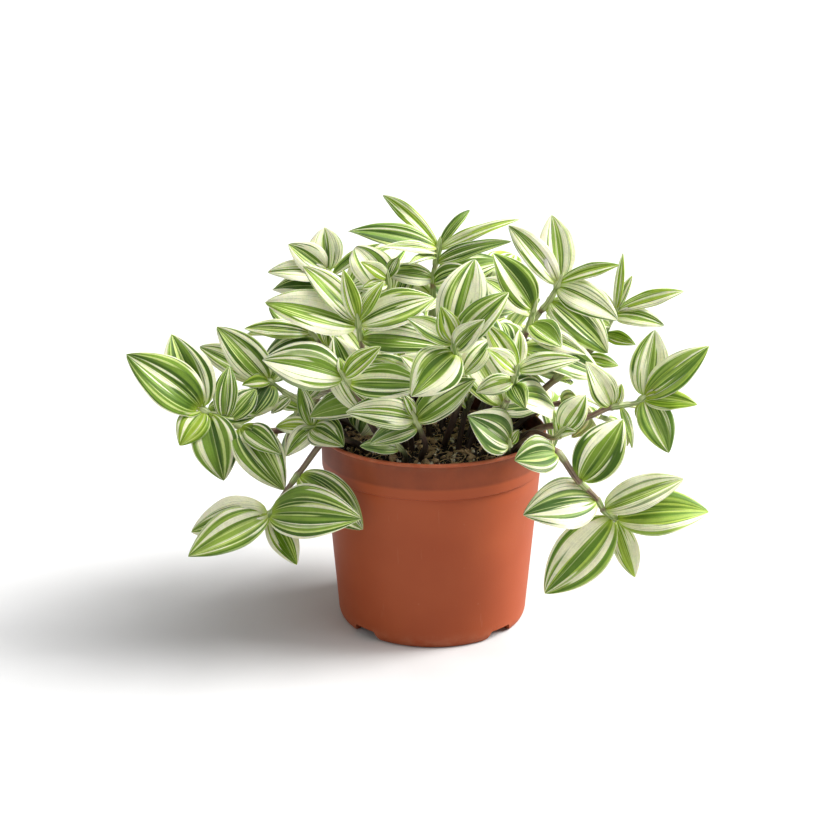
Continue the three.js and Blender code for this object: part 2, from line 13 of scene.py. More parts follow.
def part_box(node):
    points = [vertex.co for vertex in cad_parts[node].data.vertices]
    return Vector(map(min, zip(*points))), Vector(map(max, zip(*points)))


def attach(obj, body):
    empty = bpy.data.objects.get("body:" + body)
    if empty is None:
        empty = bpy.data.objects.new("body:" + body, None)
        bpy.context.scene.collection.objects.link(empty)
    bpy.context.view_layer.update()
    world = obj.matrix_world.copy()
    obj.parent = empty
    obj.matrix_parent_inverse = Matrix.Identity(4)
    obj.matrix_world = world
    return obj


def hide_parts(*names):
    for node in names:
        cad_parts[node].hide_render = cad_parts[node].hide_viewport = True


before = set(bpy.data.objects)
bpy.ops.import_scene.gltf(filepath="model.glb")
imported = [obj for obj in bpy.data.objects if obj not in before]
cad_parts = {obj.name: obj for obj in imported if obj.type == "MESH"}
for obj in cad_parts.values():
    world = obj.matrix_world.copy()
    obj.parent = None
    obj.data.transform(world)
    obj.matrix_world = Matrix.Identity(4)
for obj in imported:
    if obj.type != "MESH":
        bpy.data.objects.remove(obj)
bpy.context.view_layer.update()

bl_info = {
    "name": "Potted tradescantia",
    "version": (1, 0, 0),
    "blender": (4, 5, 0),
    "location": "View3D > Sidebar > Tradescantia",
    "description": "Dresses a potted tradescantia: pot, potting mix, leafy stems and stage",
    "category": "Object",
}

MM = 0.001
BODY = "root"

# ---------------------------------------------------------------- The frame's own places
POT_LOW, POT_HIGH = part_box("pot")
AXIS = np.array(((POT_LOW.x + POT_HIGH.x) / 2, (POT_LOW.y + POT_HIGH.y) / 2, POT_LOW.z))

# ---------------------------------------------------------------- The plant's plan
# Millimetres round the pot's axis, as the packed solids were laid out. root is where a stem stands
# in the mix, route the points that it passes, the last of them its growing tip, and grown the first
# distance and the number of its leaves set by rule. Each listed leaf is
# [distance back from the tip, length, azimuth, elevation, width], and looks gives one letter a leaf:
# g green, m mint, c cream, y young, l light, f fresh.
FRONT_STEMS = [
    {
        "name": "stem_left_long", "root": [-46, -4], "grown": [0, 0], "looks": "ggyygggggg",
        "route": [[-57, -8, 113], [-70, -18, 111], [-84, -25, 111], [-101, -22, 113],
                  [-121, -20, 122]],
        "leaves": [
            [2, 48, 196, 42, 26], [3, 42, 158, 67, 26], [3, 17, 210, 5, 8], [4, 23, 232, -36, 17],
            [6, 36, 300, -62, 24], [4, 28, 20, -10, 17], [23, 42, 320, -40, 24],
            [27, 28, 320, -20, 14], [15, 28, 75, 70, 13], [17, 24, 45, 35, 14],
        ],
    },
    {
        "name": "stem_left_hanging", "root": [-34, -26], "grown": [0, 0], "looks": "clygg",
        "route": [[-45, -32, 109], [-54, -37, 111], [-66, -43, 97], [-73, -46, 88], [-84, -50, 73]],
        "leaves": [
            [3, 41, 190, -10, 22], [2, 46, 202, -22, 21], [2, 29, 320, -50, 15],
            [2, 49, 342, 5, 28], [27, 43, 340, -35, 23],
        ],
    },
    {
        "name": "stem_right_hanging", "root": [41, -30], "grown": [0, 0], "looks": "mgmfcfy",
        "route": [[47, -40, 111], [53, -52, 113], [62, -58, 110], [71, -58, 97], [81, -55, 86],
                  [87, -50, 76], [94, -45, 70]],
        "leaves": [
            [55, 24, 205, 0, 20], [36, 38, 15, 55, 24], [21, 40, 200, -3, 27],
            [4, 52, 200, -45, 28], [13, 43, 355, 25, 18], [2, 47, 352, 8, 25],
            [2, 32, 320, -65, 13],
        ],
    },
    {
        "name": "stem_right_long", "root": [40, -18], "grown": [0, 0], "looks": "cfyfyycyg",
        "route": [[54, -25, 112], [66, -32, 117], [78, -36, 122], [90, -32, 126], [103, -28, 127],
                  [109, -25, 130]],
        "leaves": [
            [2, 35, 55, 75, 20], [2, 42, 0, 40, 17], [3, 29, 330, 4, 12], [2, 31, 305, -50, 18],
            [5, 9, 255, -55, 4], [4, 14, 310, -75, 4], [21, 29, 200, 60, 15], [18, 12, 0, 80, 6],
            [16, 23, 295, -55, 5],
        ],
    },
    {
        "name": "stem_centre_front", "root": [6, -16], "grown": [34, 3], "looks": "ggcyygcg",
        "route": [[10, -40, 122], [14, -60, 146], [9, -70, 172]],
        "leaves": [
            [2, 41, 50, 68, 25], [4, 37, 0, 45, 16], [6, 25, 335, 45, 12], [2, 20, 215, 68, 12],
            [2, 14, 0, 80, 5], [3, 26, 195, 35, 12], [8, 32, 220, -30, 24], [22, 23, 30, 45, 12],
        ],
    },
    {
        "name": "stem_top", "root": [-2, -2], "grown": [20, 6], "looks": "gcygyggcgc",
        "route": [[-1, -4, 140], [0, -5, 183], [3, -5, 204]],
        "leaves": [
            [2, 49, 200, 15, 13], [5, 38, 215, 10, 6], [2, 41, 152, 38, 9], [2, 26, 30, 45, 6],
            [3, 44, 0, 22, 7], [10, 41, 345, 20, 9], [7, 24, 235, 5, 6], [18, 27, 205, 12, 13],
            [20, 24, 325, 25, 12], [30, 27, 262, 5, 16],
        ],
    },
    {
        "name": "stem_upper_right", "root": [18, -6], "grown": [18, 5], "looks": "gcycc",
        "route": [[34, -8, 135], [50, -11, 164], [59, -14, 177], [64, -15, 188]],
        "leaves": [
            [3, 39, 170, 50, 15], [2, 35, 105, 70, 19], [2, 32, 350, 20, 8], [4, 37, 325, -18, 18],
            [12, 40, 330, -34, 22],
        ],
    },
    {
        "name": "stem_upper_left", "root": [-14, -18], "grown": [26, 4], "looks": "gcyycgm",
        "route": [[-24, -32, 132], [-34, -42, 156], [-37, -50, 177]],
        "leaves": [
            [5, 47, 185, 17, 22], [2, 38, 160, 40, 15], [2, 27, 190, 75, 9], [2, 24, 0, 58, 8],
            [4, 39, 0, 21, 20], [12, 44, 340, 0, 17], [26, 36, 345, -22, 17],
        ],
    },
    {
        "name": "stem_front_left", "root": [-20, -28], "grown": [22, 3], "looks": "gyygg",
        "route": [[-30, -42, 118], [-36, -50, 135], [-44, -62, 152]],
        "leaves": [
            [3, 41, 185, 15, 24], [2, 27, 330, 42, 11], [2, 10, 160, 75, 5], [7, 40, 340, 5, 19],
            [10, 28, 355, -15, 14],
        ],
    },
    {
        "name": "stem_front_right", "root": [26, -32], "grown": [26, 2], "looks": "yycylg",
        "route": [[30, -38, 116], [37, -52, 138], [40, -68, 157]],
        "leaves": [
            [3, 27, 160, 55, 12], [2, 20, 80, 65, 8], [2, 31, 345, 15, 11], [4, 23, 215, 40, 11],
            [11, 20, 200, -10, 11], [15, 17, 290, -25, 11],
        ],
    },
    {
        "name": "stem_front_low", "root": [-6, -34], "grown": [0, 0], "looks": "cygm",
        "route": [[-4, -48, 112], [-10, -60, 131]],
        "leaves": [
            [3, 36, 190, 5, 18], [2, 14, 210, 65, 6], [4, 38, 350, 36, 18], [9, 26, 200, -13, 13],
        ],
    },
    {
        "name": "stem_right_crown", "root": [18, -20], "grown": [26, 4], "looks": "ggg",
        "route": [[34, -25, 135], [46, -31, 163], [50, -36, 180]],
        "leaves": [
            [3, 35, 180, 55, 18], [11, 22, 315, -20, 15], [15, 32, 335, -15, 12],
        ],
    },
    {
        "name": "stem_right_high", "root": [34, -2], "grown": [0, 0], "looks": "ylycyyycgm",
        "route": [[56, -4, 125], [80, -5, 147], [89, -5, 159], [95, -5, 171]],
        "leaves": [
            [3, 31, 60, 77, 5], [2, 20, 0, 70, 5], [2, 36, 350, 20, 9], [5, 27, 335, -3, 11],
            [16, 20, 320, -5, 8], [4, 16, 180, 60, 4], [33, 20, 350, -8, 8], [26, 30, 160, 35, 15],
            [40, 34, 95, 35, 17], [50, 36, 60, 10, 18],
        ],
    },
    {
        "name": "stem_left_mid", "root": [-36, 4], "grown": [0, 0], "looks": "gymgcgg",
        "route": [[-50, 2, 109], [-59, 0, 113], [-75, 3, 121], [-88, 5, 130]],
        "leaves": [
            [2, 40, 190, 50, 20], [3, 17, 210, 0, 8], [4, 22, 238, -35, 17], [16, 15, 225, -25, 7],
            [4, 44, 166, 24, 17], [22, 26, 35, 45, 12], [3, 22, 20, 50, 15],
        ],
    },
    {
        "name": "stem_left_crown", "root": [-16, 4], "grown": [14, 5], "looks": "cccg",
        "route": [[-30, 6, 140], [-46, 10, 174], [-56, 15, 187]],
        "leaves": [
            [2, 25, 180, 36, 16], [3, 25, 105, 64, 19], [3, 32, 190, 4, 13], [5, 32, 350, 35, 7],
        ],
    },
    {
        "name": "stem_left_behind", "root": [-26, 18], "grown": [14, 4], "looks": "cgcy",
        "route": [[-40, 26, 118], [-56, 35, 137], [-72, 45, 149]],
        "leaves": [
            [2, 32, 190, -5, 7], [3, 23, 170, 30, 14], [8, 37, 190, 5, 11], [4, 22, 90, 65, 12],
        ],
    },
    {
        "name": "stem_rim_left", "root": [-43, -16], "grown": [0, 0], "looks": "gycgy",
        "route": [[-52, -20, 111], [-63, -29, 114]],
        "leaves": [
            [2, 24, 180, 75, 9], [3, 16, 0, 65, 10], [4, 22, 220, -30, 12], [2, 24, 322, -20, 19],
            [3, 20, 185, 5, 10],
        ],
    },
    {
        "name": "stem_rim_right", "root": [44, -24], "grown": [0, 0], "looks": "lcy",
        "route": [[50, -33, 113], [60, -48, 115], [64, -56, 122]],
        "leaves": [
            [2, 22, 0, 60, 15], [6, 14, 310, 20, 6], [7, 14, 180, 80, 4],
        ],
    },
    {
        "name": "stem_soil_right", "root": [38, -34], "grown": [0, 0], "looks": "my",
        "route": [[38, -38, 104], [38, -46, 112]],
        "leaves": [
            [2, 31, 212, 38, 23], [3, 10, 325, 60, 6],
        ],
    },
    {
        "name": "stem_soil_left", "root": [-14, -44], "grown": [0, 0], "looks": "m",
        "route": [[-14, -48, 106], [-17, -53, 112]],
        "leaves": [
            [2, 21, 195, 10, 9],
        ],
    },
    {
        "name": "stem_top_left", "root": [-8, -10], "grown": [12, 5], "looks": "ygy",
        "route": [[-15, -16, 150], [-21, -20, 179], [-23, -22, 192]],
        "leaves": [
            [2, 17, 200, 35, 8], [2, 12, 30, 60, 7], [5, 16, 220, 5, 7],
        ],
    },
    {
        "name": "stem_top_right", "root": [10, 10], "grown": [9, 6], "looks": "gy",
        "route": [[22, 18, 146], [28, 25, 172], [33, 30, 184]],
        "leaves": [
            [2, 18, 180, 25, 10], [3, 13, 25, 25, 7],
        ],
    },
]
# The azimuth that the leaves of these stems face.
FRONT_FACE = 270

# The stems that the front hides grow by rule, in rings over the back and inside of the mound. polar
# is how far a ring leans from straight up, in degrees, and reach how far its stems grow.
MOUND_CENTRE = (0, 0, 105)
RINGS = [
    {"name": "stem_back_low", "polar": 94, "reach": 92, "leaves": 6,
     "azimuths": [14, 42, 72, 104, 134, 160]},
    {"name": "stem_back_mid", "polar": 66, "reach": 90, "leaves": 6, "azimuths": [28, 60, 92, 124]},
    {"name": "stem_back_high", "polar": 36, "reach": 88, "leaves": 5, "azimuths": [72, 122]},
    {"name": "stem_inner", "polar": 52, "reach": 48, "leaves": 4,
     "azimuths": [188, 214, 246, 300, 328, 354]},
]
POLAR_SPREAD = 10
REACH_SPREAD = 0.2
ROOT_RING = 46
ROOT_POLAR = 95
SHOULDER = 0.45
SHOULDER_RISE = 0.62
RIM_CLEARANCE = 2
POT_HEIGHT = 105
SOIL_LEVEL = 98
STEM_FOOT = 88
STEM_RISE = 2
STEM_RADIUS = 1.8
SEED = 2807

# Leaves set by rule. An age is 0 at the growing tip and 1 from GROWN_AGE back.
GROWN_SPACING = 7
GROWN_STRETCH = 0.12
GROWN_AGE = 26
GROWN_TURN = 197
GROWN_DROOP = 0.15
GROWN_FACE_TILT = 50
GROWN_FACE_SPREAD = 60
YOUNG_OPENING, OLD_OPENING = 24, 78
YOUNG_LEAF, OLD_LEAF = 20, 42
LENGTH_SPREAD = 0.3
GROWN_WIDTH = 0.52
WIDTH_SPREAD = 0.08
YOUNG_UNTIL = 0.45
OLD_LOOKS = "gcmgcg"

# The packed blade: where its outline is split, its form, and the turns that cleared it.
BLADE_THICKNESS = 0.8
ROOT_OUT, ROOT_BACK = 1, 2
LARGE_LEAF, SMALL_LEAF = 38, 18
LARGE_STATIONS, STATIONS, SMALL_STATIONS = (0.22, 0.5, 0.78), (0.3, 0.68), (0.42,)
OUTLINE_LEAN = 0.85
OUTLINE_ROOT, OUTLINE_TIP = 0.6, 0.8
FOLD = 0.2
WAVE = 0.022
ARCH = 0.05
ARCH_SPREAD = 0.09
ARCH_LEAN = 0.25
FACE_TILT = 35
FACE_SPREAD = 24
BENDS = (7, 14, 21, 30, 40, 52)
MATCH_WITHIN = 0.03
MATCHES_NEEDED = 3
UP = np.array((0.0, 0.0, 1.0))


def seeded(seed):
    """Small repeatable random numbers from 0 to 1."""
    state = seed

    def draw():
        nonlocal state
        state = (state * 1664525 + 1013904223) & 0xFFFFFFFF
        return state / 4294967296

    return draw


def about(middle, width, random):
    """A random number in a range of this width about its middle."""
    return middle + width * (random() - 0.5)


def unit(vector):
    return vector / np.linalg.norm(vector)


def direction(azimuth, elevation):
    a, e = math.radians(azimuth), math.radians(elevation)
    return np.array((math.cos(a) * math.cos(e), math.sin(a) * math.cos(e), math.sin(e)))


def turned(vector, axis, degrees):
    """vector turned about a unit axis."""
    c, s = math.cos(math.radians(degrees)), math.sin(math.radians(degrees))
    return vector * c + np.cross(axis, vector) * s + axis * (axis @ vector) * (1 - c)


def in_frame(points):
    """Millimetres round the pot's axis as metres in the frame."""
    return np.asarray(points, float) * MM + AXIS


class StemLine:
    """The smooth line through a stem's points, measured along its length."""

    DIVISIONS = 200
    STEP = 1e-4

    def __init__(self, points):
        inner = np.array(points, float)
        self.points = np.vstack((2 * inner[0] - inner[1], inner, 2 * inner[-1] - inner[-2]))
        self.spans = len(inner) - 1
        self.shares = np.linspace(0, 1, self.DIVISIONS + 1)
        chords = np.linalg.norm(np.diff(self.by_share(self.shares), axis=0), axis=1)
        self.lengths = np.concatenate(((0,), np.cumsum(chords)))
        self.length = self.lengths[-1]

    def by_share(self, shares):
        place = np.atleast_1d(shares) * self.spans
        span = np.minimum(place.astype(int), self.spans - 1)
        w = (place - span)[:, None]
        before, a, b, after = (self.points[span + k] for k in range(4))
        start, end = (b - before) / 2, (after - a) / 2
        return (a + start * w + (-3 * a + 3 * b - 2 * start - end) * w ** 2
                + (2 * a - 2 * b + start + end) * w ** 3)

    def share_at(self, distances):
        return np.interp(distances, self.lengths, self.shares)

    def at(self, distances):
        return self.by_share(self.share_at(distances))

    def heading(self, distance):
        share = self.share_at(distance)
        ends = self.by_share([max(share - self.STEP, 0), min(share + self.STEP, 1)])
        return unit(ends[1] - ends[0])


@dataclass
class Leaf:
    """A leaf of the plan: how far back from the tip it grows, where and which way it leaves the
    stem, the way its upper face is turned, its size, its arch and where its wave starts."""

    back: float
    base: np.ndarray
    along: np.ndarray
    facing: np.ndarray
    length: float
    width: float
    arch: float
    phase: float
    look: str


@dataclass
class Stem:
    """A stem of the plan. face is the azimuth that its leaves face."""

    name: str
    root: list
    face: float
    grown: list
    route: list
    leaves: list
    looks: str


def placed_leaves(stem, line, random):
    """The leaves listed for a stem."""
    leaves = []
    for (back, long, azimuth, elevation, width), look in zip(stem.leaves, stem.looks):
        back = max(back, ROOT_BACK)
        leaves.append(Leaf(
            back=back,
            base=line.at(line.length - back)[0],
            along=direction(azimuth, elevation),
            facing=direction(about(stem.face, FACE_SPREAD, random), FACE_TILT),
            length=long,
            width=width,
            arch=ARCH + ARCH_SPREAD * random(),
            phase=random(),
            look=look,
        ))
    return leaves


def grown_leaves(stem, line, random):
    """Leaves set by rule: in two ranks that turn slowly round the stem, opening wider and growing
    longer away from its tip."""
    start = 360 * random()
    first_back, count = stem.grown
    leaves = []
    for i in range(count):
        back = first_back + GROWN_SPACING * i * (1 + GROWN_STRETCH * i)
        axis = line.heading(line.length - back)
        first = unit(np.cross(axis, UP))
        second = np.cross(axis, first)
        age = min(1, back / GROWN_AGE)
        turn = math.radians(start + GROWN_TURN * i)
        opening = math.radians(YOUNG_OPENING + age * (OLD_OPENING - YOUNG_OPENING))
        sideways = first * math.cos(turn) + second * math.sin(turn)
        along = unit(axis * math.cos(opening) + sideways * math.sin(opening)
                     - UP * GROWN_DROOP * age)
        if stem.leaves:
            along[1] = abs(along[1])
        long = YOUNG_LEAF + math.sin(math.pi / 2 * age) * (OLD_LEAF - YOUNG_LEAF)
        long *= about(1, LENGTH_SPREAD, random)
        leaves.append(Leaf(
            back=back,
            base=line.at(line.length - back)[0],
            along=along,
            facing=direction(about(stem.face, GROWN_FACE_SPREAD, random), GROWN_FACE_TILT),
            length=long,
            width=long * about(GROWN_WIDTH, WIDTH_SPREAD, random),
            arch=ARCH + ARCH_SPREAD * random(),
            phase=random(),
            look="y" if age < YOUNG_UNTIL else OLD_LOOKS[i % len(OLD_LOOKS)],
        ))
    return leaves


def grown_stem(ring, azimuth, index, random):
    """The route of a stem that grows by rule."""
    polar = about(ring["polar"], POLAR_SPREAD, random)
    out = direction(azimuth, 90 - polar)
    reach = ring["reach"] * about(1, REACH_SPREAD, random)
    tip = np.array(MOUND_CENTRE) + out * reach
    root = direction(azimuth, 0) * ROOT_RING * min(1, polar / ROOT_POLAR)
    shoulder = root + (tip - root) * SHOULDER
    over_rim = POT_HEIGHT + 3 * STEM_RADIUS + RIM_CLEARANCE
    shoulder[2] = max(over_rim, SOIL_LEVEL + (tip[2] - SOIL_LEVEL) * SHOULDER_RISE)
    return Stem(
        name=f"{ring['name']}_{index + 1}", root=list(root[:2]), face=azimuth,
        grown=[ROOT_BACK, ring["leaves"]], route=[shoulder, tip], leaves=[], looks="",
    )


def all_stems():
    random = seeded(SEED)
    grown = [grown_stem(ring, azimuth, index, random)
             for ring in RINGS for index, azimuth in enumerate(ring["azimuths"])]
    return [Stem(face=FRONT_FACE, **stem) for stem in FRONT_STEMS] + grown


def outline(v):
    """A leaf's half width as a share of its greatest, from root 0 to tip 1."""
    return np.sin(np.pi * v ** OUTLINE_LEAN) ** (OUTLINE_ROOT + (OUTLINE_TIP - OUTLINE_ROOT) * v)


def blade_axes(leaf, pitch, yaw):
    """The leaf's own axes: along it, across it, and up from its upper face."""
    up = unit(leaf.facing - (leaf.facing @ leaf.along) * leaf.along)
    across = np.cross(up, leaf.along)
    along = turned(turned(leaf.along, across, pitch), up, yaw)
    up = unit(leaf.facing - (leaf.facing @ along) * along)
    return along, np.cross(up, along), up


def arch_and_wave(leaf, v, u):
    """How far the arch along the blade and the wave over it lift it above its own chord."""
    arch = leaf.arch * leaf.length * 4 * v * (1 - v) * (1 + ARCH_LEAN * (1 - 2 * v))
    wave = WAVE * leaf.length * u * np.sin(2 * np.pi * (v + leaf.phase))
    return arch + wave


def blade_rise(leaf, v, u, half):
    """How far the packed blade's middle stands above its own chord."""
    return arch_and_wave(leaf, v, u) + FOLD * half * np.abs(u)


def on_blade(leaf, axes, v, u, half, rise):
    """A place on the blade, v along it and u across it, as high over its chord as rise says."""
    along, across, up = axes
    run = ROOT_OUT + (leaf.length - ROOT_OUT) * v
    return (leaf.base + np.multiply.outer(run, along) + np.multiply.outer(half * u, across)
            + np.multiply.outer(rise, up))


def packed_corners(leaf, axes):
    """The corners that the packed blade has with these axes."""
    if leaf.length >= LARGE_LEAF:
        stations = LARGE_STATIONS
    else:
        stations = SMALL_STATIONS if leaf.length < SMALL_LEAF else STATIONS
    v = np.array([station for station in stations for _ in range(3)] + [1.0])
    u = np.array([-1.0, 0.0, 1.0] * len(stations) + [0.0])
    half = leaf.width / 2 * outline(v)
    middle = on_blade(leaf, axes, v, u, half, blade_rise(leaf, v, u, half))
    lift = axes[2] * BLADE_THICKNESS / 2
    return np.vstack((middle + lift, middle - lift))


def corner_tree(node):
    """The packed node's corners, in millimetres round the pot's axis."""
    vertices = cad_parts[node].data.vertices
    places = np.empty(3 * len(vertices))
    vertices.foreach_get("co", places)
    tree = kdtree.KDTree(len(vertices))
    for i, place in enumerate((places.reshape(-1, 3) - AXIS) / MM):
        tree.insert(place, i)
    tree.balance()
    return tree


def packed_axes(leaf, tree):
    """The axes that the leaf has in the packed solid, or None where it was left out there."""
    turns = [(0, 0)]
    for bend in BENDS:
        turns += [(-bend, 0), (bend, 0), (0, bend), (0, -bend)]
    for pitch, yaw in turns:
        axes = blade_axes(leaf, pitch, yaw)
        found = sum(tree.find(corner)[2] < MATCH_WITHIN for corner in packed_corners(leaf, axes))
        if found >= MATCHES_NEEDED:
            return axes
    return None


# ---------------------------------------------------------------- Meshes
class MeshParts:
    """Collects points, faces, each corner's place on its own surface, and each point's nature."""

    def __init__(self):
        self.points, self.faces, self.maps, self.slots = [], [], [], []
        self.nature, self.place = [], []

    def add(self, points, faces, maps, slot, nature, place):
        """nature and place hold three numbers a point, for the materials to read."""
        first = len(self.points)
        self.points.extend(map(tuple, points))
        self.faces.extend(tuple(first + i for i in face) for face in faces)
        self.maps.extend(maps)
        self.slots.extend([slot] * len(faces))
        self.nature.extend(map(tuple, np.broadcast_to(nature, (len(points), 3))))
        self.place.extend(map(tuple, np.broadcast_to(place, (len(points), 3))))

    def piece(self, name, materials, sharp_from):
        mesh = bpy.data.meshes.new(name)
        mesh.from_pydata(self.points, [], self.faces)
        for material in materials:
            mesh.materials.append(material)
        mesh.polygons.foreach_set("material_index", self.slots)
        mesh.shade_smooth()
        layer = mesh.uv_layers.new(name="own")
        layer.uv.foreach_set("vector", np.concatenate([np.ravel(m) for m in self.maps]))
        for label, values in (("nature", self.nature), ("place", self.place)):
            attribute = mesh.attributes.new(label, "FLOAT_VECTOR", "POINT")
            attribute.data.foreach_set("vector", np.ravel(values))
        mesh.set_sharp_from_angle(angle=math.radians(sharp_from))
        return linked(name, mesh)


def linked(name, data):
    """A new object in the scene that shows a mesh, a light or a camera."""
    made = bpy.data.objects.new(name, data)
    bpy.context.scene.collection.objects.link(made)
    return made


def settle(piece, slot, *nodes):
    """The piece rides on the pot's body, and the packed nodes that it stands for are hidden; slot is
    not used.
    """
    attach(piece, BODY)
    if nodes:
        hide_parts(*nodes)


def plain_mesh(piece):
    """The piece with its modifiers turned into mesh."""
    depsgraph = bpy.context.evaluated_depsgraph_get()
    done = bpy.data.meshes.new_from_object(
        piece.evaluated_get(depsgraph), preserve_all_data_layers=True, depsgraph=depsgraph)
    piece.modifiers.clear()
    old, piece.data = piece.data, done
    bpy.data.meshes.remove(old)
    done.name = piece.name
    return piece


def arc(centre, radii, start, end, steps):
    """Points of a profile along an elliptic arc, in degrees from straight out to straight up."""
    angles = np.radians(np.linspace(start, end, steps + 1))
    return [(centre[0] + radii[0] * math.cos(a), centre[1] + radii[1] * math.sin(a)) for a in angles]


def tube_faces(first, sides, rings, low, high):
    """The faces of a closed tube: rings of points, from the point first on, between two ends."""
    top = first + (rings - 1) * sides
    faces = []
    for i in range(sides):
        j = (i + 1) % sides
        faces.append((low, first + j, first + i))
        faces.append((high, top + i, top + j))
        for k in range(rings - 1):
            a, b = first + k * sides, first + (k + 1) * sides
            faces.append((a + i, a + j, b + j, b + i))
    return faces


def turned_mesh(name, profile, sides):
    """A closed body of revolution about the pot's axis, its profile running from axis to axis."""
    (_, low), *ring_profile, (_, high) = profile
    angles = 2 * np.pi * np.arange(sides) / sides
    rings = [(r * math.cos(a), r * math.sin(a), z) for r, z in ring_profile for a in angles]
    points = in_frame([(0, 0, low), *rings, (0, 0, high)])
    faces = tube_faces(1, sides, len(ring_profile), 0, len(points) - 1)
    mesh = bpy.data.meshes.new(name)
    mesh.from_pydata(points.tolist(), [], faces)
    return mesh


# ---------------------------------------------------------------- Pot
# Millimetres. A pair is a distance from the axis and a height. Angles are in degrees: the notches
# and drains go round the axis, and an edge of the pot stays sharp from POT_CREASE.
UNDERSIDE = 5.6
FLOOR_TOP = 7.2
FLOOR_CORNER = 3
FOOT_INSIDE = [(44.2, 5.6), (44.9, 5.1), (45.4, 0.5), (45.8, 0)]
FOOT_RADIUS = 48
FOOT_CORNER = (3, 5.8)
WALL_BOTTOM, WALL_TOP = (51, 5.8), (57.5, 84.7)
WALL_STEPS = 10
CREASE = [(57.3, 85.3), (58.35, 85.45), (58.7, 85.7)]
COLLAR = [(58.8, 86.2), (58.9, 94.5), (58.8, 102.8)]
BEAD_CENTRE, BEAD_RADIUS = (59, 104), 1
LIP_INSIDE = (57.85, 103)
COLLAR_INSIDE = (58.9, 87.5)
WALL_INSIDE = [(57.6, 85.6), (51.2, 10.5)]
NOTCH_ANGLES = (45, 135, 225, 315)
NOTCH_SIDE = [(10.4, -1.5), (9.6, 0)]
NOTCH_CORNER_CENTRE, NOTCH_CORNER = (5.8, 3.4), 1.6
NOTCH_FROM, NOTCH_TO = 34, 56
DRAIN_ANGLES = (0, 90, 180, 270)
DRAIN_RING = 30
DRAIN_RADIUS = 4.5
DRAIN_CUT = 8
POT_CREASE = 38


def pot_profile(pot):
    """The wall's section, from the underside's middle round to the floor's."""
    wall = pot.wall / MM
    foot = arc((FOOT_RADIUS, FOOT_CORNER[1]), FOOT_CORNER, -90, 0, 8)
    outside = np.linspace(WALL_BOTTOM, WALL_TOP, WALL_STEPS + 1)[1:]
    bead = arc(BEAD_CENTRE, (BEAD_RADIUS, BEAD_RADIUS), -80, 180, 14)
    inside = [(radius - wall, height) for radius, height in (COLLAR_INSIDE, *WALL_INSIDE)]
    floor = arc((inside[-1][0] - FLOOR_CORNER, FLOOR_TOP + FLOOR_CORNER),
                (FLOOR_CORNER, FLOOR_CORNER), 0, -90, 4)
    return [(0, UNDERSIDE), *FOOT_INSIDE, *foot, *outside, *CREASE, *COLLAR, *bead, LIP_INSIDE,
            *inside, *floor, (0, FLOOR_TOP)]


def notch_cutter(angle):
    """A wedge with rounded upper corners that opens the foot under the wall."""
    side = NOTCH_SIDE + arc(NOTCH_CORNER_CENTRE, (NOTCH_CORNER, NOTCH_CORNER), 0, 90, 5)
    section = side + [(-x, z) for x, z in reversed(side)]
    out, along = direction(angle, 0), direction(angle + 90, 0)
    points = [in_frame(out * reach + along * x + UP * z)
              for reach in (NOTCH_FROM, NOTCH_TO) for x, z in section]
    n = len(section)
    faces = [tuple(range(n)), tuple(range(2 * n - 1, n - 1, -1))]
    faces += [(i, i + n, (i + 1) % n + n, (i + 1) % n) for i in range(n)]
    mesh = bpy.data.meshes.new("notch")
    mesh.from_pydata([tuple(p) for p in points], [], faces)
    return outward(linked("notch", mesh))


def drain_cutter(angle):
    """A round pin through the pot's floor."""
    x, y, _ = direction(angle, 0) * DRAIN_RING
    mesh = bpy.data.meshes.new("drain")
    shape = bmesh.new()
    bmesh.ops.create_cone(shape, cap_ends=True, segments=32, radius1=DRAIN_RADIUS * MM,
                          radius2=DRAIN_RADIUS * MM, depth=DRAIN_CUT * MM)
    bmesh.ops.translate(shape, verts=shape.verts, vec=in_frame((x, y, (UNDERSIDE + FLOOR_TOP) / 2)))
    shape.to_mesh(mesh)
    shape.free()
    return linked("drain", mesh)


def outward(piece):
    """The piece's faces turned to point out, after its doubles are merged."""
    shape = bmesh.new()
    shape.from_mesh(piece.data)
    bmesh.ops.remove_doubles(shape, verts=shape.verts, dist=1e-6)
    bmesh.ops.recalc_face_normals(shape, faces=shape.faces)
    shape.to_mesh(piece.data)
    shape.free()
    return piece


def cut(piece, cutters):
    """Cuts each closed cutter out of the piece and removes it."""
    for cutter in cutters:
        boolean = piece.modifiers.new("cut", "BOOLEAN")
        boolean.object, boolean.solver = cutter, "EXACT"
        plain_mesh(piece)
        mesh = cutter.data
        bpy.data.objects.remove(cutter)
        bpy.data.meshes.remove(mesh)


# ---------------------------------------------------------------- Potting mix
# The mix fills the pot's inside: its mouth's radius, then each turn of its side as radius and
# height. Its top is crowned, falls off at the wall, and has lumps of four sizes, each with its
# fineness and its height.
MIX_MOUTH = 57.3
MIX_SIDE = ((56.8, 88), (55.6, 84), (49.2, 12), (46.6, 7.6))
MIX_CROWN = 1.6
MIX_FALL = 1.4
LUMPS = ((0.055, 2.4), (0.14, 1.5), (0.37, 0.8), (0.8, 0.35))
LUMPS_APART = 7.3
DIP = 1.1
DIP_RADIUS = 3


def mix_height(x, y, roots, lumps):
    """The mix's surface over a place, in millimetres: crowned, lumpy, and dipped round each stem."""
    share = math.hypot(x, y) / MIX_MOUTH
    height = SOIL_LEVEL + MIX_CROWN * (1 - share ** 2) - MIX_FALL * share ** 8
    for scale, depth in LUMPS:
        height += lumps * depth * noise.noise(Vector((x * scale, y * scale, LUMPS_APART * depth)))
    for root in roots:
        away = math.hypot(x - root[0], y - root[1])
        height -= DIP * math.exp(-(away / DIP_RADIUS) ** 2 / 2)
    return height


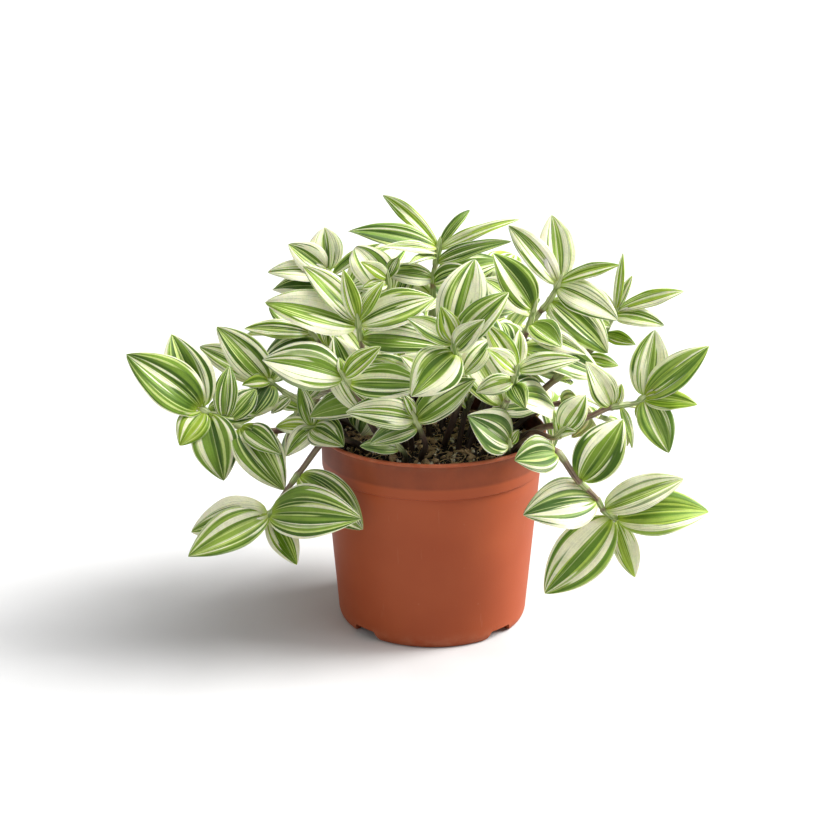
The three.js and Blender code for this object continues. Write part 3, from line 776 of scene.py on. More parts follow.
def mix_mesh(roots, lumps, rings, sides):
    """A closed body with an uneven top that fills the pot. Every second ring is turned by half a
    face."""
    points = [(0, 0, mix_height(0, 0, roots, lumps))]
    levels = [(ring, MIX_MOUTH * ring / rings, None) for ring in range(1, rings + 1)]
    levels += [(rings, radius, height) for radius, height in MIX_SIDE]
    for ring, radius, height in levels:
        for side in range(sides):
            a = 2 * math.pi * (side + 0.5 * (ring % 2)) / sides
            x, y = radius * math.cos(a), radius * math.sin(a)
            points.append((x, y, mix_height(x, y, roots, lumps) if height is None else height))
    points.append((0, 0, MIX_SIDE[-1][1]))
    last = len(points) - 1
    faces = []
    for i in range(sides):
        j = (i + 1) % sides
        faces.append((0, 1 + i, 1 + j))
        faces.append((last, last - sides + j, last - sides + i))
        for k in range(len(levels) - 1):
            a, b = 1 + k * sides, 1 + (k + 1) * sides
            if k + 1 >= rings:
                faces.append((a + i, b + i, b + j, a + j))
            elif k % 2 == 0:
                faces.extend(((a + i, b + i, a + j), (b + i, b + j, a + j)))
            else:
                faces.extend(((a + i, b + i, b + j), (a + i, b + j, a + j)))
    mesh = bpy.data.meshes.new("potting_mix_body")
    mesh.from_pydata(in_frame(points).tolist(), [], faces)
    mesh.shade_smooth()
    return mesh


# ---------------------------------------------------------------- Node trees
class NodeTree:
    """A node tree that is written as nested calls."""

    def __init__(self, tree):
        self.tree = tree

    def feed(self, socket, value):
        """Joins an input to another node's socket, or sets it to a plain value."""
        if isinstance(value, bpy.types.NodeSocket):
            self.tree.links.new(value, socket)
        else:
            socket.default_value = value

    def add(self, kind, values=None, **settings):
        """A node with its settings, and its inputs by name or number."""
        node = self.tree.nodes.new(kind)
        for name, value in settings.items():
            setattr(node, name, value)
        for name, value in (values or {}).items():
            self.feed(node.inputs[name], value)
        return node

    def math(self, operation, *values):
        return self.add("ShaderNodeMath", dict(enumerate(values)), operation=operation).outputs[0]

    def times(self, a, b):
        return self.math("MULTIPLY", a, b)

    def line(self, value, slope, start):
        """value times slope, plus start."""
        return self.math("MULTIPLY_ADD", value, slope, start)

    def most(self, a, b):
        return self.math("MAXIMUM", a, b)

    def split(self, vector):
        return self.add("ShaderNodeSeparateXYZ", {0: vector}).outputs

    def join(self, x, y, z):
        return self.add("ShaderNodeCombineXYZ", {0: x, 1: y, 2: z}).outputs[0]

    def vector(self, operation, values, output="Vector"):
        return self.add("ShaderNodeVectorMath", values, operation=operation).outputs[output]

    def from_axis(self, place):
        """How far a place is from the pot's axis."""
        spot = self.split(place)
        flat = self.join(self.math("SUBTRACT", spot[0], AXIS[0]),
                         self.math("SUBTRACT", spot[1], AXIS[1]), 0.0)
        return self.vector("LENGTH", {0: flat}, output="Value")

    def ramp(self, value, low, high, to_low=0.0, to_high=1.0):
        """value from low to high as a number that goes smoothly from to_low to to_high."""
        values = {0: value, 1: low, 2: high, 3: to_low, 4: to_high}
        return self.add("ShaderNodeMapRange", values, interpolation_type="SMOOTHSTEP").outputs[0]


class ShaderTree(NodeTree):
    """A material's, a shader group's or the surroundings' tree."""

    def place(self):
        """The point's place in its object's own space."""
        return self.add("ShaderNodeTexCoord").outputs["Object"]

    def attribute(self, name):
        """The three numbers of a point attribute."""
        return self.split(self.add("ShaderNodeAttribute", attribute_name=name).outputs["Vector"])

    def own_map(self):
        """How far a point is across and along its own leaf or stalk, from 0 to 1."""
        return self.split(self.add("ShaderNodeUVMap", uv_map="own").outputs[0])

    def cloud(self, place, scale, **settings):
        """Smooth noise about a half."""
        values = {name.capitalize(): value for name, value in settings.items()}
        return self.add("ShaderNodeTexNoise", {"Vector": place, "Scale": scale, **values}).outputs[0]

    def mix(self, share, a, b, blend="MIX"):
        """b over a by share, where a plain colour has three numbers."""
        a, b = (look if isinstance(look, bpy.types.NodeSocket) else (*look, 1.0) for look in (a, b))
        values = {0: share, 6: a, 7: b}
        return self.add("ShaderNodeMix", values, data_type="RGBA", blend_type=blend).outputs[2]

    def group(self, name, **inputs):
        """What a shared shader group puts out for these inputs. The group is built once."""
        tree = bpy.data.node_groups.get(name) or SHADER_GROUPS[name]()
        values = {label.capitalize(): value for label, value in inputs.items()}
        return self.add("ShaderNodeGroup", values, node_tree=tree).outputs[0]

    def mottle(self, scale, low=0.0, high=1.0):
        return self.group("mottle", scale=scale, low=low, high=high)


# ---------------------------------------------------------------- Shader groups
def new_group(name, inputs, output):
    """An empty shader group's tree helper, and its inputs by name."""
    tree = bpy.data.node_groups.new(name, "ShaderNodeTree")
    for label, default in inputs.items():
        socket = tree.interface.new_socket(label, in_out="INPUT", socket_type="NodeSocketFloat")
        socket.default_value = default
    tree.interface.new_socket(output, in_out="OUTPUT", socket_type="NodeSocketFloat")
    shader = ShaderTree(tree)
    return shader, shader.add("NodeGroupInput").outputs


def close_group(shader, value):
    shader.add("NodeGroupOutput", {0: value})
    return shader.tree


def mottle_group():
    """Soft uneven patches in the object's own space, between two values."""
    shader, given = new_group("mottle", {"Scale": 100, "Low": 0, "High": 1}, "Value")
    cloud = shader.cloud(shader.place(), given["Scale"], detail=3.0, roughness=0.6)
    return close_group(shader, shader.ramp(cloud, 0.3, 0.7, given["Low"], given["High"]))


def speck_group():
    """Scattered small specks: 1 on a speck, 0 between them."""
    shader, given = new_group("specks", {"Scale": 400, "Share": 0.1, "Size": 0.2}, "Mask")
    cells = shader.add("ShaderNodeTexVoronoi", {"Vector": shader.place(), "Scale": given["Scale"]})
    chosen = shader.math("LESS_THAN", shader.split(cells.outputs["Color"])[0], given["Share"])
    near = shader.ramp(cells.outputs["Distance"], given["Size"], 0.0)
    return close_group(shader, shader.times(near, chosen))


def stripe_group():
    """Stripes that run along a leaf or stalk, in the share of its width that is asked for."""
    shader, given = new_group("stripes", {"Across": 0, "Along": 0, "Seed": 0, "Fineness": 3,
                                          "Share": 0.4, "Softness": 0.03}, "Mask")
    place = shader.join(shader.times(given["Across"], given["Fineness"]),
                        shader.times(given["Along"], 0.55), shader.times(given["Seed"], 57.0))
    cloud = shader.cloud(place, 1.0, detail=1.0, roughness=0.35)
    middle = shader.line(given["Share"], -0.5, 0.75)
    low = shader.math("SUBTRACT", middle, given["Softness"])
    high = shader.math("ADD", middle, given["Softness"])
    return close_group(shader, shader.ramp(cloud, low, high))


def vein_group():
    """Fine parallel ridges across a surface: 1 on a ridge, 0 between."""
    shader, given = new_group("veins", {"Across": 0, "Count": 12}, "Height")
    turn = shader.times(shader.times(given["Across"], given["Count"]), math.pi)
    wave = shader.line(shader.math("COSINE", turn), 0.5, 0.5)
    return close_group(shader, shader.math("POWER", wave, 3.0))


SHADER_GROUPS = {"mottle": mottle_group, "specks": speck_group, "stripes": stripe_group,
                 "veins": vein_group}


# ---------------------------------------------------------------- Materials
def srgb(red, green, blue):
    """A colour as it looks, 0 to 255, as the linear light that a material holds."""
    linear = []
    for value in (red, green, blue):
        share = value / 255
        linear.append(share / 12.92 if share <= 0.04045 else ((share + 0.055) / 1.055) ** 2.4)
    return tuple(linear)


def new_material(name, **constants):
    """A material, its tree helper and its Principled shader."""
    material = bpy.data.materials.new(name)
    material.use_nodes = True
    shader = ShaderTree(material.node_tree)
    principled = material.node_tree.nodes["Principled BSDF"]
    for socket, value in constants.items():
        shader.feed(principled.inputs[socket.replace("_", " ")], value)
    return material, shader, principled


def finish(shader, principled, colour, roughness, height, strength, distance):
    """Joins a material's colour, roughness and bump height to its shader."""
    bump = shader.add("ShaderNodeBump", {"Strength": strength, "Distance": distance,
                                         "Height": height})
    shader.feed(principled.inputs["Base Color"], colour)
    shader.feed(principled.inputs["Roughness"], roughness)
    shader.feed(principled.inputs["Normal"], bump.outputs[0])


def plastic_material(pot):
    """Moulded plastic: even terracotta with slow patches, handling dust, fine scuffs, a little of
    the mix's dust under the lip and at the foot, and painted shade inside its mouth above the mix."""
    material, shader, principled = new_material("moulded_plastic", Specular_IOR_Level=0.35)
    place = shader.place()
    height = shader.split(place)[2]
    within = shader.ramp(shader.from_axis(place), 59.5 * MM, 58 * MM)
    above = shader.ramp(height, 90 * MM, 92 * MM)
    worn_foot = shader.ramp(height, 10 * MM, 1 * MM)
    dusty_lip = shader.ramp(height, 99 * MM, 104.5 * MM)
    patches, fine = shader.mottle(14.0), shader.mottle(900.0)
    specks = shader.group("specks", scale=260.0, share=0.035, size=0.22)
    streaked = shader.add("ShaderNodeMapping", {"Vector": place, "Scale": (420.0, 420.0, 40.0)})
    scuffs = shader.ramp(shader.cloud(streaked.outputs[0], 1.0, detail=2.0), 0.69, 0.75)
    edge = shader.times(shader.most(worn_foot, dusty_lip), shader.mottle(160.0, 0.0, 0.3))
    wear = shader.most(shader.most(shader.times(scuffs, 0.1), shader.times(specks, 0.2)), edge)
    # Painted shade: the inside of the mouth above the mix is darkened nearly to black.
    painted_mouth_shade = shader.times(shader.mottle(120.0, 0.75, 1.0), shader.times(within, above))
    colour = shader.mix(patches, pot.colour, pot.patch_colour)
    colour = shader.mix(wear, colour, pot.dust_colour)
    colour = shader.mix(painted_mouth_shade, colour, pot.painted_mouth_shade_colour)
    roughness = shader.line(wear, 0.3, shader.line(patches, 0.07, pot.roughness))
    bumps = shader.line(fine, 0.25, shader.times(scuffs, -0.4))
    finish(shader, principled, colour, roughness, bumps, strength=0.18, distance=0.0002)
    return material


def mix_material(name, dark, light, rough=0.92, scale=520.0, bump=0.0006, pale=0.0):
    """Crumbly matter between two colours; pale is the least share of the light one."""
    material, shader, principled = new_material(name, Specular_IOR_Level=0.25)
    crumbs, patches = shader.mottle(scale), shader.mottle(scale / 7)
    specks = shader.group("specks", scale=scale * 1.7, share=0.12, size=0.3)
    shade = shader.times(shader.line(patches, 0.6, 0.25), crumbs)
    colour = shader.mix(shader.line(shade, 1.0 - pale, pale), dark, light)
    colour = shader.mix(shader.times(specks, 0.35), colour, light)
    roughness = shader.line(crumbs, -0.12, rough)
    finish(shader, principled, colour, roughness, crumbs, strength=0.9, distance=bump)
    return material


def leaf_material(leaves):
    """A striped blade: green about the midrib, broad cream bands, thin pale lines, a pale edge, and
    fine parallel veins. The point attributes nature (cream, youth, mint) and place (seed,
    underside, unused) say which leaf it is."""
    material, shader, principled = new_material(
        "striped_leaf", Specular_IOR_Level=0.22, Subsurface_Weight=leaves.glow,
        Subsurface_Radius=(0.7, 1.0, 0.3), Subsurface_Scale=0.001)
    own = shader.own_map()
    cream, youth, mint = shader.attribute("nature")
    seed, under, _ = shader.attribute("place")
    along = own[1]
    across = shader.line(own[0], 2.0, -1.0)
    aside = shader.math("ABSOLUTE", across)

    def stripes(offset, fineness, share, softness):
        return shader.group("stripes", across=across, along=along,
                            seed=shader.math("ADD", seed, offset), fineness=fineness, share=share,
                            softness=softness)

    open_share = shader.times(cream, shader.ramp(aside, 0.04, 0.4, 0.55, 1.0))
    bands = stripes(0.0, fineness=3.5, share=open_share, softness=0.012)
    lines = stripes(0.37, fineness=10.0, share=0.27, softness=0.02)
    splits = stripes(0.29, fineness=7.0, share=0.24, softness=0.02)
    dashes = stripes(0.53, fineness=17.0, share=0.2, softness=0.02)
    deep = stripes(0.71, fineness=4.2, share=0.5, softness=0.09)
    streaks = stripes(0.19, fineness=34.0, share=0.5, softness=0.2)
    veins = shader.group("veins", across=across, count=leaves.veins)
    midrib = shader.ramp(aside, 0.03, 0.008)
    margin = shader.ramp(aside, 0.93, 0.965)
    root = shader.ramp(along, 0.16, 0.01)
    patches, cells = shader.mottle(160.0, -0.5, 0.5), shader.mottle(1500.0, -0.5, 0.5)
    green = shader.mix(deep, leaves.mid_green, leaves.deep_green)
    green = shader.mix(youth, green, shader.mix(deep, leaves.young_light, leaves.young_green))
    green = shader.mix(mint, green, shader.mix(deep, leaves.mint_light, leaves.mint_green))
    thin_lines = shader.mix(youth, leaves.pale_line, leaves.young_light)
    colour = shader.mix(shader.times(lines, 0.85), green, thin_lines)
    pale = shader.most(bands, shader.times(margin, 0.85))
    pale = shader.times(pale, shader.line(dashes, -0.6, 1.0))
    pale = shader.times(pale, shader.line(splits, -0.75, 1.0))
    colour = shader.mix(pale, colour, leaves.cream)
    colour = shader.mix(shader.times(midrib, 0.5), colour, leaves.pale_line)
    colour = shader.mix(shader.times(root, 0.6), colour, leaves.young_light)
    grain = shader.line(cells, 0.1, shader.line(streaks, 0.12, 0.94))
    grain = shader.line(patches, 0.16, grain)
    colour = shader.mix(1.0, colour, shader.join(grain, grain, grain), blend="MULTIPLY")
    colour = shader.mix(shader.times(under, 0.3), colour, leaves.underside)
    roughness = shader.line(patches, 0.1, shader.line(under, 0.15, leaves.roughness))
    ribs = shader.line(midrib, -1.4, shader.line(veins, 0.55, shader.times(cells, 0.3)))
    finish(shader, principled, colour, roughness, ribs, strength=0.5, distance=0.00022)
    return material


def stalk_material(stalks):
    """A fleshy stalk: green where young, purple brown where old, pale at its sheaths, with fine
    lines along it, and painted shade low in the pot under the leaves. The point attribute place
    holds (seed, sheath, age)."""
    material, shader, principled = new_material(
        "fleshy_stalk", Specular_IOR_Level=0.45, Subsurface_Weight=0.1,
        Subsurface_Radius=(1.0, 0.7, 0.3), Subsurface_Scale=0.001)
    own = shader.own_map()
    seed, sheath, age = shader.attribute("place")
    place = shader.place()
    patches, cells = shader.mottle(220.0), shader.mottle(1300.0)
    streaks = shader.group("stripes", across=own[0], along=own[1], seed=seed, fineness=22.0,
                           share=0.45, softness=0.12)
    # Painted shade: inside the rim and low under the leaves, the stalk darkens nearly to black.
    low = shader.times(shader.ramp(shader.from_axis(place), 62 * MM, 50 * MM),
                       shader.ramp(shader.split(place)[2], 170 * MM, 122 * MM))
    old = shader.mix(patches, stalks.old_dark, stalks.old_light)
    colour = shader.mix(age, shader.mix(streaks, stalks.young, stalks.young_pale), old)
    colour = shader.mix(shader.times(streaks, 0.25), colour, stalks.young_pale)
    colour = shader.mix(sheath, colour, shader.mix(streaks, stalks.sheath, stalks.young))
    colour = shader.mix(shader.times(low, 0.9), colour, stalks.low_stalk_shade)
    ridges = shader.line(streaks, 0.6, shader.times(cells, 0.3))
    roughness = shader.line(patches, 0.15, 0.38)
    finish(shader, principled, colour, roughness, ridges, strength=0.4, distance=0.0002)
    return material


# ---------------------------------------------------------------- Loose bits on the mix
class ShapeTree(NodeTree):
    """A Geometry Nodes tree with named inputs."""

    def __init__(self, name, inputs):
        super().__init__(bpy.data.node_groups.new(name, "GeometryNodeTree"))
        face = self.tree.interface
        face.new_socket("Geometry", in_out="INPUT", socket_type="NodeSocketGeometry")
        face.new_socket("Geometry", in_out="OUTPUT", socket_type="NodeSocketGeometry")
        for label, kind, value in inputs:
            face.new_socket(label, in_out="INPUT", socket_type=kind).default_value = value
        self.given = self.add("NodeGroupInput").outputs

    def uneven(self, shape, scale, amount):
        """The shape with its points shifted by a cloud in space, so that no two copies are alike."""
        cloud = self.add("ShaderNodeTexNoise", {"Scale": scale, "Detail": 1.0}).outputs["Color"]
        middle = self.vector("SUBTRACT", {0: cloud, 1: (0.5, 0.5, 0.5)})
        shift = self.vector("SCALE", {0: middle, "Scale": amount})
        return self.add("GeometryNodeSetPosition", {"Geometry": shape, "Offset": shift}).outputs[0]


def grain_shape(tree):
    """A small rounded grain, one across."""
    ball = tree.add("GeometryNodeMeshUVSphere", {"Segments": 7, "Rings": 5, "Radius": 0.5})
    return ball.outputs["Mesh"]


def chip_shape(tree):
    """A flat splinter, one long."""
    slab = tree.add("GeometryNodeMeshCube", {"Size": (1.0, 0.42, 0.2), "Vertices X": 4,
                                             "Vertices Y": 3, "Vertices Z": 2})
    return slab.outputs["Mesh"]


def fibre_shape(tree):
    """A thin bent strand, one long."""
    bend = tree.add("GeometryNodeCurveQuadraticBezier", {
        "Resolution": 6, "Start": (-0.5, 0.0, 0.0), "Middle": (0.05, 0.32, 0.3),
        "End": (0.5, -0.05, 0.02)})
    ring = tree.add("GeometryNodeCurvePrimitiveCircle", {"Resolution": 3, "Radius": 0.022})
    tube = tree.add("GeometryNodeCurveToMesh", {"Curve": bend.outputs[0],
                                                "Profile Curve": ring.outputs[0], "Fill Caps": True})
    return tube.outputs[0]


@dataclass
class Litter:
    """One kind of loose bits: its shape, its sizes in millimetres and how far from the axis it
    lies. tilt is the most that it leans, in radians, and lift how high its middle lies over the
    mix, as a share of its size."""

    name: str
    shape: callable
    smallest: float
    largest: float
    roughening: float
    reach: float
    tilt: float
    lift: float
    seed: int


LITTER = (
    Litter("mix_crumbs", grain_shape, 0.8, 2.6, roughening=1.2, reach=54, tilt=3.1, lift=0.15,
           seed=11),
    Litter("perlite_grains", grain_shape, 0.8, 2.2, roughening=0.7, reach=53, tilt=3.1, lift=0.3,
           seed=23),
    Litter("bark_chips", chip_shape, 2.2, 7.0, roughening=1.2, reach=51, tilt=0.7, lift=0.12,
           seed=37),
    Litter("coir_fibres", fibre_shape, 4.0, 12.0, roughening=3.0, reach=47, tilt=0.5, lift=0.08,
           seed=53),
)

# The least upward share of a face that bits lie on, and the fineness of what makes them uneven.
UPWARD = 0.35
ROUGHENING_SCALE = 420.0


def scatter_tree(litter, material):
    """Copies of one small shape strewn over the upward faces of a surface, inside the pot."""
    tree = ShapeTree(litter.name, (
        ("Density", "NodeSocketFloat", 1000.0), ("Smallest", "NodeSocketFloat", 0.001),
        ("Largest", "NodeSocketFloat", 0.003), ("Roughening", "NodeSocketFloat", 0.0005),
        ("Reach", "NodeSocketFloat", 0.05), ("Seed", "NodeSocketInt", 1)))
    given = tree.given
    facing = tree.split(tree.add("GeometryNodeInputNormal").outputs[0])[2]
    place = tree.add("GeometryNodeInputPosition").outputs[0]
    open_mix = tree.times(tree.math("GREATER_THAN", facing, UPWARD),
                          tree.math("LESS_THAN", tree.from_axis(place), given["Reach"]))
    spots = tree.add("GeometryNodeDistributePointsOnFaces", {
        "Mesh": given["Geometry"], "Selection": open_mix, "Density": given["Density"],
        "Seed": given["Seed"]})
    least, most = (-litter.tilt, -litter.tilt, 0.0), (litter.tilt, litter.tilt, 2 * math.pi)
    spin = tree.add("FunctionNodeRandomValue", {0: least, 1: most, "Seed": given["Seed"]},
                    data_type="FLOAT_VECTOR").outputs[0]
    size = tree.add("FunctionNodeRandomValue", {
        2: given["Smallest"], 3: given["Largest"], "Seed": given["Seed"]},
        data_type="FLOAT").outputs[1]
    up = tree.join(0.0, 0.0, tree.times(size, litter.lift))
    points = tree.add("GeometryNodeSetPosition", {"Geometry": spots.outputs["Points"],
                                                  "Offset": up}).outputs[0]
    copies = tree.add("GeometryNodeInstanceOnPoints", {
        "Points": points, "Instance": litter.shape(tree), "Rotation": spin, "Scale": size})
    real = tree.add("GeometryNodeRealizeInstances", {"Geometry": copies.outputs[0]}).outputs[0]
    real = tree.uneven(real, ROUGHENING_SCALE, given["Roughening"])
    real = tree.add("GeometryNodeSetMaterial", {"Geometry": real, "Material": material}).outputs[0]
    tree.add("NodeGroupOutput", {"Geometry": real})
    return tree.tree


def strewn(name, surface, tree, **inputs):
    """A piece made by running a scatter tree on a copy of the surface."""
    piece = linked(name, surface.data.copy())
    modifier = piece.modifiers.new(name, "NODES")
    modifier.node_group = tree
    for item in tree.interface.items_tree:
        key = item.name.lower()
        if item.in_out == "INPUT" and key in inputs:
            modifier[item.identifier] = inputs[key]
    return plain_mesh(piece)


# ---------------------------------------------------------------- Leafy stems
# What each look's letter stands for: its share of cream, its youth and its mint. Every leaf departs
# from it by chance, within the spreads.
NATURES = {"g": (0.47, 0.08, 0.08), "m": (0.44, 0.0, 0.6), "c": (0.68, 0.2, 0.12),
           "y": (0.5, 0.6, 0.0), "l": (0.56, 0.4, 0.2), "f": (0.4, 0.7, 0.4)}
CREAM_SPREAD, YOUTH_SPREAD, MINT_SPREAD = 0.16, 0.15, 0.12

# The finer form of a blade. Its ripple and droop are shares of the leaf's length, its belly of its
# half width, and its pleats stand in millimetres. An edge stays sharp from LEAF_CREASE, in degrees.
MIDRIB_ROUND = 0.004
CLASP, CLASP_REACH = 2.2, 0.08
BELLY = 0.09
PLEATS, PLEAT_HEIGHT = 3, 0.16
RIPPLE, RIPPLES = 0.012, 2.3
RIPPLE_PHASE, RIPPLE_SHIFT = 3, 0.3
DROOP, DROOP_FROM = 0.045, 0.7
EDGE_THINNING = 0.5
USUAL_LEAF = 45
FEWEST_ROWS = 8
LEAF_CREASE = 55

# The stalk in millimetres: how it thins towards its tip, swells at a node, and is wrapped by the
# sheath above it.
YOUNG_THICKNESS = 0.72
THICK_FROM, THICK_TO = 4, 60
NODE_SWELLING, NODE_REACH = 0.4, 1.1
SHEATH_THICKNESS = 0.35
SHEATH_START, SHEATH_END = (-0.6, 0.4), (4.5, 6.0)
OLD_SHEATH_FADING = (20, 60)
GREEN_UNTIL, BROWN_FROM = 5, 18
TIP_LENGTH, TIP_THICKNESS = 2, 0.85
FEWEST_RINGS = 8
NEARLY_UPRIGHT = 0.99
STALK_SEED_STEP, STALK_SEED = 97, 11

# The closed bud at a stalk's end: its length, then the place and thickness of each ring of points
# as shares of the bud's length and the stalk's radius, and how far past them its point is.
BUD_LENGTH = 4.5
BUD_PLACES, BUD_RADII = (0.25, 0.55, 0.8), (0.95, 0.7, 0.38)
BUD_POINT = 0.22


def eased(value, low, high):
    share = np.clip((np.asarray(value, float) - low) / (high - low), 0, 1)
    return share * share * (3 - 2 * share)


def fine_rise(leaf, v, u, half):
    """The finer blade's form over its chord: the packed blade's arch, fold and wave, with a rounded
    midrib, bellied halves, a base that clasps the stalk, low pleats, a rippled edge and a drooped
    tip."""
    aside = np.sqrt(u ** 2 + MIDRIB_ROUND)
    fold = FOLD * half * aside * (1 + CLASP * np.exp(-v / CLASP_REACH))
    belly = BELLY * half * np.sin(np.pi * np.minimum(aside, 1))
    pleats = PLEAT_HEIGHT * np.cos(PLEATS * np.pi * u) * np.sin(np.pi * v) ** 0.5
    turn = 2 * np.pi * (RIPPLES * v + RIPPLE_PHASE * leaf.phase + RIPPLE_SHIFT * np.sign(u))
    ripple = RIPPLE * leaf.length * u ** 4 * np.sin(turn) * np.sin(np.pi * v)
    droop = DROOP * leaf.length * (np.maximum(0, v - DROOP_FROM) / (1 - DROOP_FROM)) ** 2
    return arch_and_wave(leaf, v, u) + fold + belly + pleats + ripple - droop


def add_blade(parts, leaf, axes, leaves, seed):
    """A closed thin blade: an upper and a lower skin, joined round the edge, and pointed at both
    ends. Its rows of points lie closer together near the ends."""
    share = math.sqrt(leaf.length / USUAL_LEAF)
    rows, columns = max(FEWEST_ROWS, round(leaves.rows * share)), leaves.columns
    step = np.arange(1, rows) / rows
    v = (0.5 * step + 0.25 * (1 - np.cos(np.pi * step)))[:, None]
    u = np.linspace(-1, 1, columns + 1)[None, :]
    v, u = np.broadcast_arrays(v, u)
    half = leaf.width / 2 * outline(v)
    middle = on_blade(leaf, axes, v, u, half, fine_rise(leaf, v, u, half))
    normal = np.cross(np.gradient(middle, axis=0), np.gradient(middle, axis=1))
    normal /= np.linalg.norm(normal, axis=2, keepdims=True)
    thick = (leaves.thickness / MM / 2 * (1 - EDGE_THINNING * np.abs(u) ** 3))[..., None]
    zero = np.zeros(1)
    ends = [on_blade(leaf, axes, zero + end, zero, zero, fine_rise(leaf, zero + end, zero, zero))
            for end in (0.0, 1.0)]
    points = np.vstack((*ends, (middle + normal * thick).reshape(-1, 3),
                        (middle - normal * thick).reshape(-1, 3)))
    count = columns + 1
    upper, lower = 2, 2 + (rows - 1) * count
    place = {0: (0.5, 0.0), 1: (0.5, 1.0)}
    flat = np.stack((u / 2 + 0.5, v), axis=2).reshape(-1, 2)
    for skin in (upper, lower):
        place.update((skin + i, tuple(spot)) for i, spot in enumerate(flat))
    faces, maps = [], []

    def face(*corners):
        faces.append(corners)
        spots = [place[corner] for corner in corners]
        if min(corners) < 2:
            own = [spot[0] for corner, spot in zip(corners, spots) if corner > 1]
            pole = sum(own) / len(own)
            spots = [spot if corner > 1 else (pole, spot[1]) for corner, spot in zip(corners, spots)]
        maps.append(spots)

    last = (rows - 2) * count
    for i in range(columns):
        face(0, upper + i, upper + i + 1)
        face(0, lower + i + 1, lower + i)
        face(upper + last + i, 1, upper + last + i + 1)
        face(lower + last + i + 1, 1, lower + last + i)
        for k in range(rows - 2):
            a, b = upper + k * count + i, upper + (k + 1) * count + i
            face(a, b, b + 1, a + 1)
            a, b = lower + k * count + i, lower + (k + 1) * count + i
            face(a, a + 1, b + 1, b)
    for edge, turned_over in ((0, False), (columns, True)):
        strip = [(0, lower + edge, upper + edge), (upper + last + edge, lower + last + edge, 1)]
        for k in range(rows - 2):
            a, b = k * count + edge, (k + 1) * count + edge
            strip.append((upper + a, lower + a, lower + b, upper + b))
        for corners in strip:
            face(*((corners[0], *reversed(corners[1:])) if turned_over else corners))
    cream, youth, mint = NATURES[leaf.look]
    chance = seeded(int(seed * 1e6))
    nature = (about(cream, CREAM_SPREAD, chance), min(1, youth + YOUTH_SPREAD * chance()),
              min(1, mint + MINT_SPREAD * chance()))
    places = np.zeros((len(points), 3))
    places[:, 0] = seed
    places[lower:, 1] = 1
    parts.add(in_frame(points), faces, maps, 0, nature, places)


def stalk_form(line, backs, stalks):
    """The stalk's rings from inside the mix to its bud: their centres, radii, how much of each is
    sheath, and how old it is. It is swollen at each node, with a sheath above it."""
    count = max(FEWEST_RINGS, round(line.length / (stalks.step / MM)))
    distance = np.linspace(0, line.length, count + 1)
    back = line.length - distance
    thickening = (1 - YOUNG_THICKNESS) * eased(back, THICK_FROM, THICK_TO)
    radius = stalks.radius / MM * (YOUNG_THICKNESS + thickening)
    sheath = np.zeros_like(distance)
    for node in sorted(set(backs)):
        above = node - back
        radius = radius + NODE_SWELLING * np.exp(-(above / NODE_REACH) ** 2)
        wrap = eased(above, *SHEATH_START) * (1 - eased(above, *SHEATH_END))
        sheath = np.maximum(sheath, wrap * (1 - eased(node, *OLD_SHEATH_FADING) / 2))
    radius = radius + SHEATH_THICKNESS * sheath
    radius[back < TIP_LENGTH] *= TIP_THICKNESS
    age = eased(back, GREEN_UNTIL, BROWN_FROM)
    centres = line.at(distance)
    heading = unit(centres[-1] - centres[-2])
    bud = centres[-1] + np.multiply.outer(np.array(BUD_PLACES) * BUD_LENGTH, heading)
    return (np.vstack((centres, bud)), np.concatenate((radius, radius[-1] * np.array(BUD_RADII))),
            np.concatenate((sheath, np.ones(len(bud)))), np.concatenate((age, np.zeros(len(bud)))))


def add_stalk(parts, line, backs, stalks, seed):
    """A round tapered stalk, with rings of points that turn along it without a twist."""
    sides = stalks.sides
    centres, radius, sheath, age = stalk_form(line, backs, stalks)
    heading = unit(centres[-1] - centres[-2])
    upright = abs(heading[2]) >= NEARLY_UPRIGHT
    side = unit(np.cross(heading, (1.0, 0, 0)) if upright else np.cross(UP, heading))
    angles = 2 * np.pi * np.arange(sides) / sides
    rings = []
    tangents = np.gradient(centres, axis=0)
    for centre, tangent, reach in zip(centres[::-1], tangents[::-1], radius[::-1]):
        axis = unit(tangent)
        side = unit(side - (side @ axis) * axis)
        over = np.cross(axis, side)
        rings.append(centre + reach * (np.multiply.outer(np.cos(angles), side)
                                       + np.multiply.outer(np.sin(angles), over)))
    rings = np.array(rings[::-1])
    tip = centres[-1] + heading * BUD_LENGTH * BUD_POINT
    points = np.vstack((centres[:1], tip[None], rings.reshape(-1, 3)))
    faces = tube_faces(2, sides, len(rings), 0, 1)
    shares = np.arange(len(rings)) / (len(rings) - 1)
    maps = []
    for i in range(sides):
        left, right = i / sides, (i + 1) / sides
        maps.append(((left, 0), (right, 0), (left, 0)))
        maps.append(((left, 1), (left, 1), (right, 1)))
        maps.extend(((left, low), (right, low), (right, high), (left, high))
                    for low, high in zip(shares, shares[1:]))
    places = np.zeros((len(points), 3))
    places[:, 0] = seed
    places[2:, 1], places[2:, 2] = np.repeat(sheath, sides), np.repeat(age, sides)
    places[0] = (seed, 0, 1)
    places[1] = (seed, 1, 0)
    parts.add(in_frame(points), faces, maps, 1, (0, 0, 0), places)


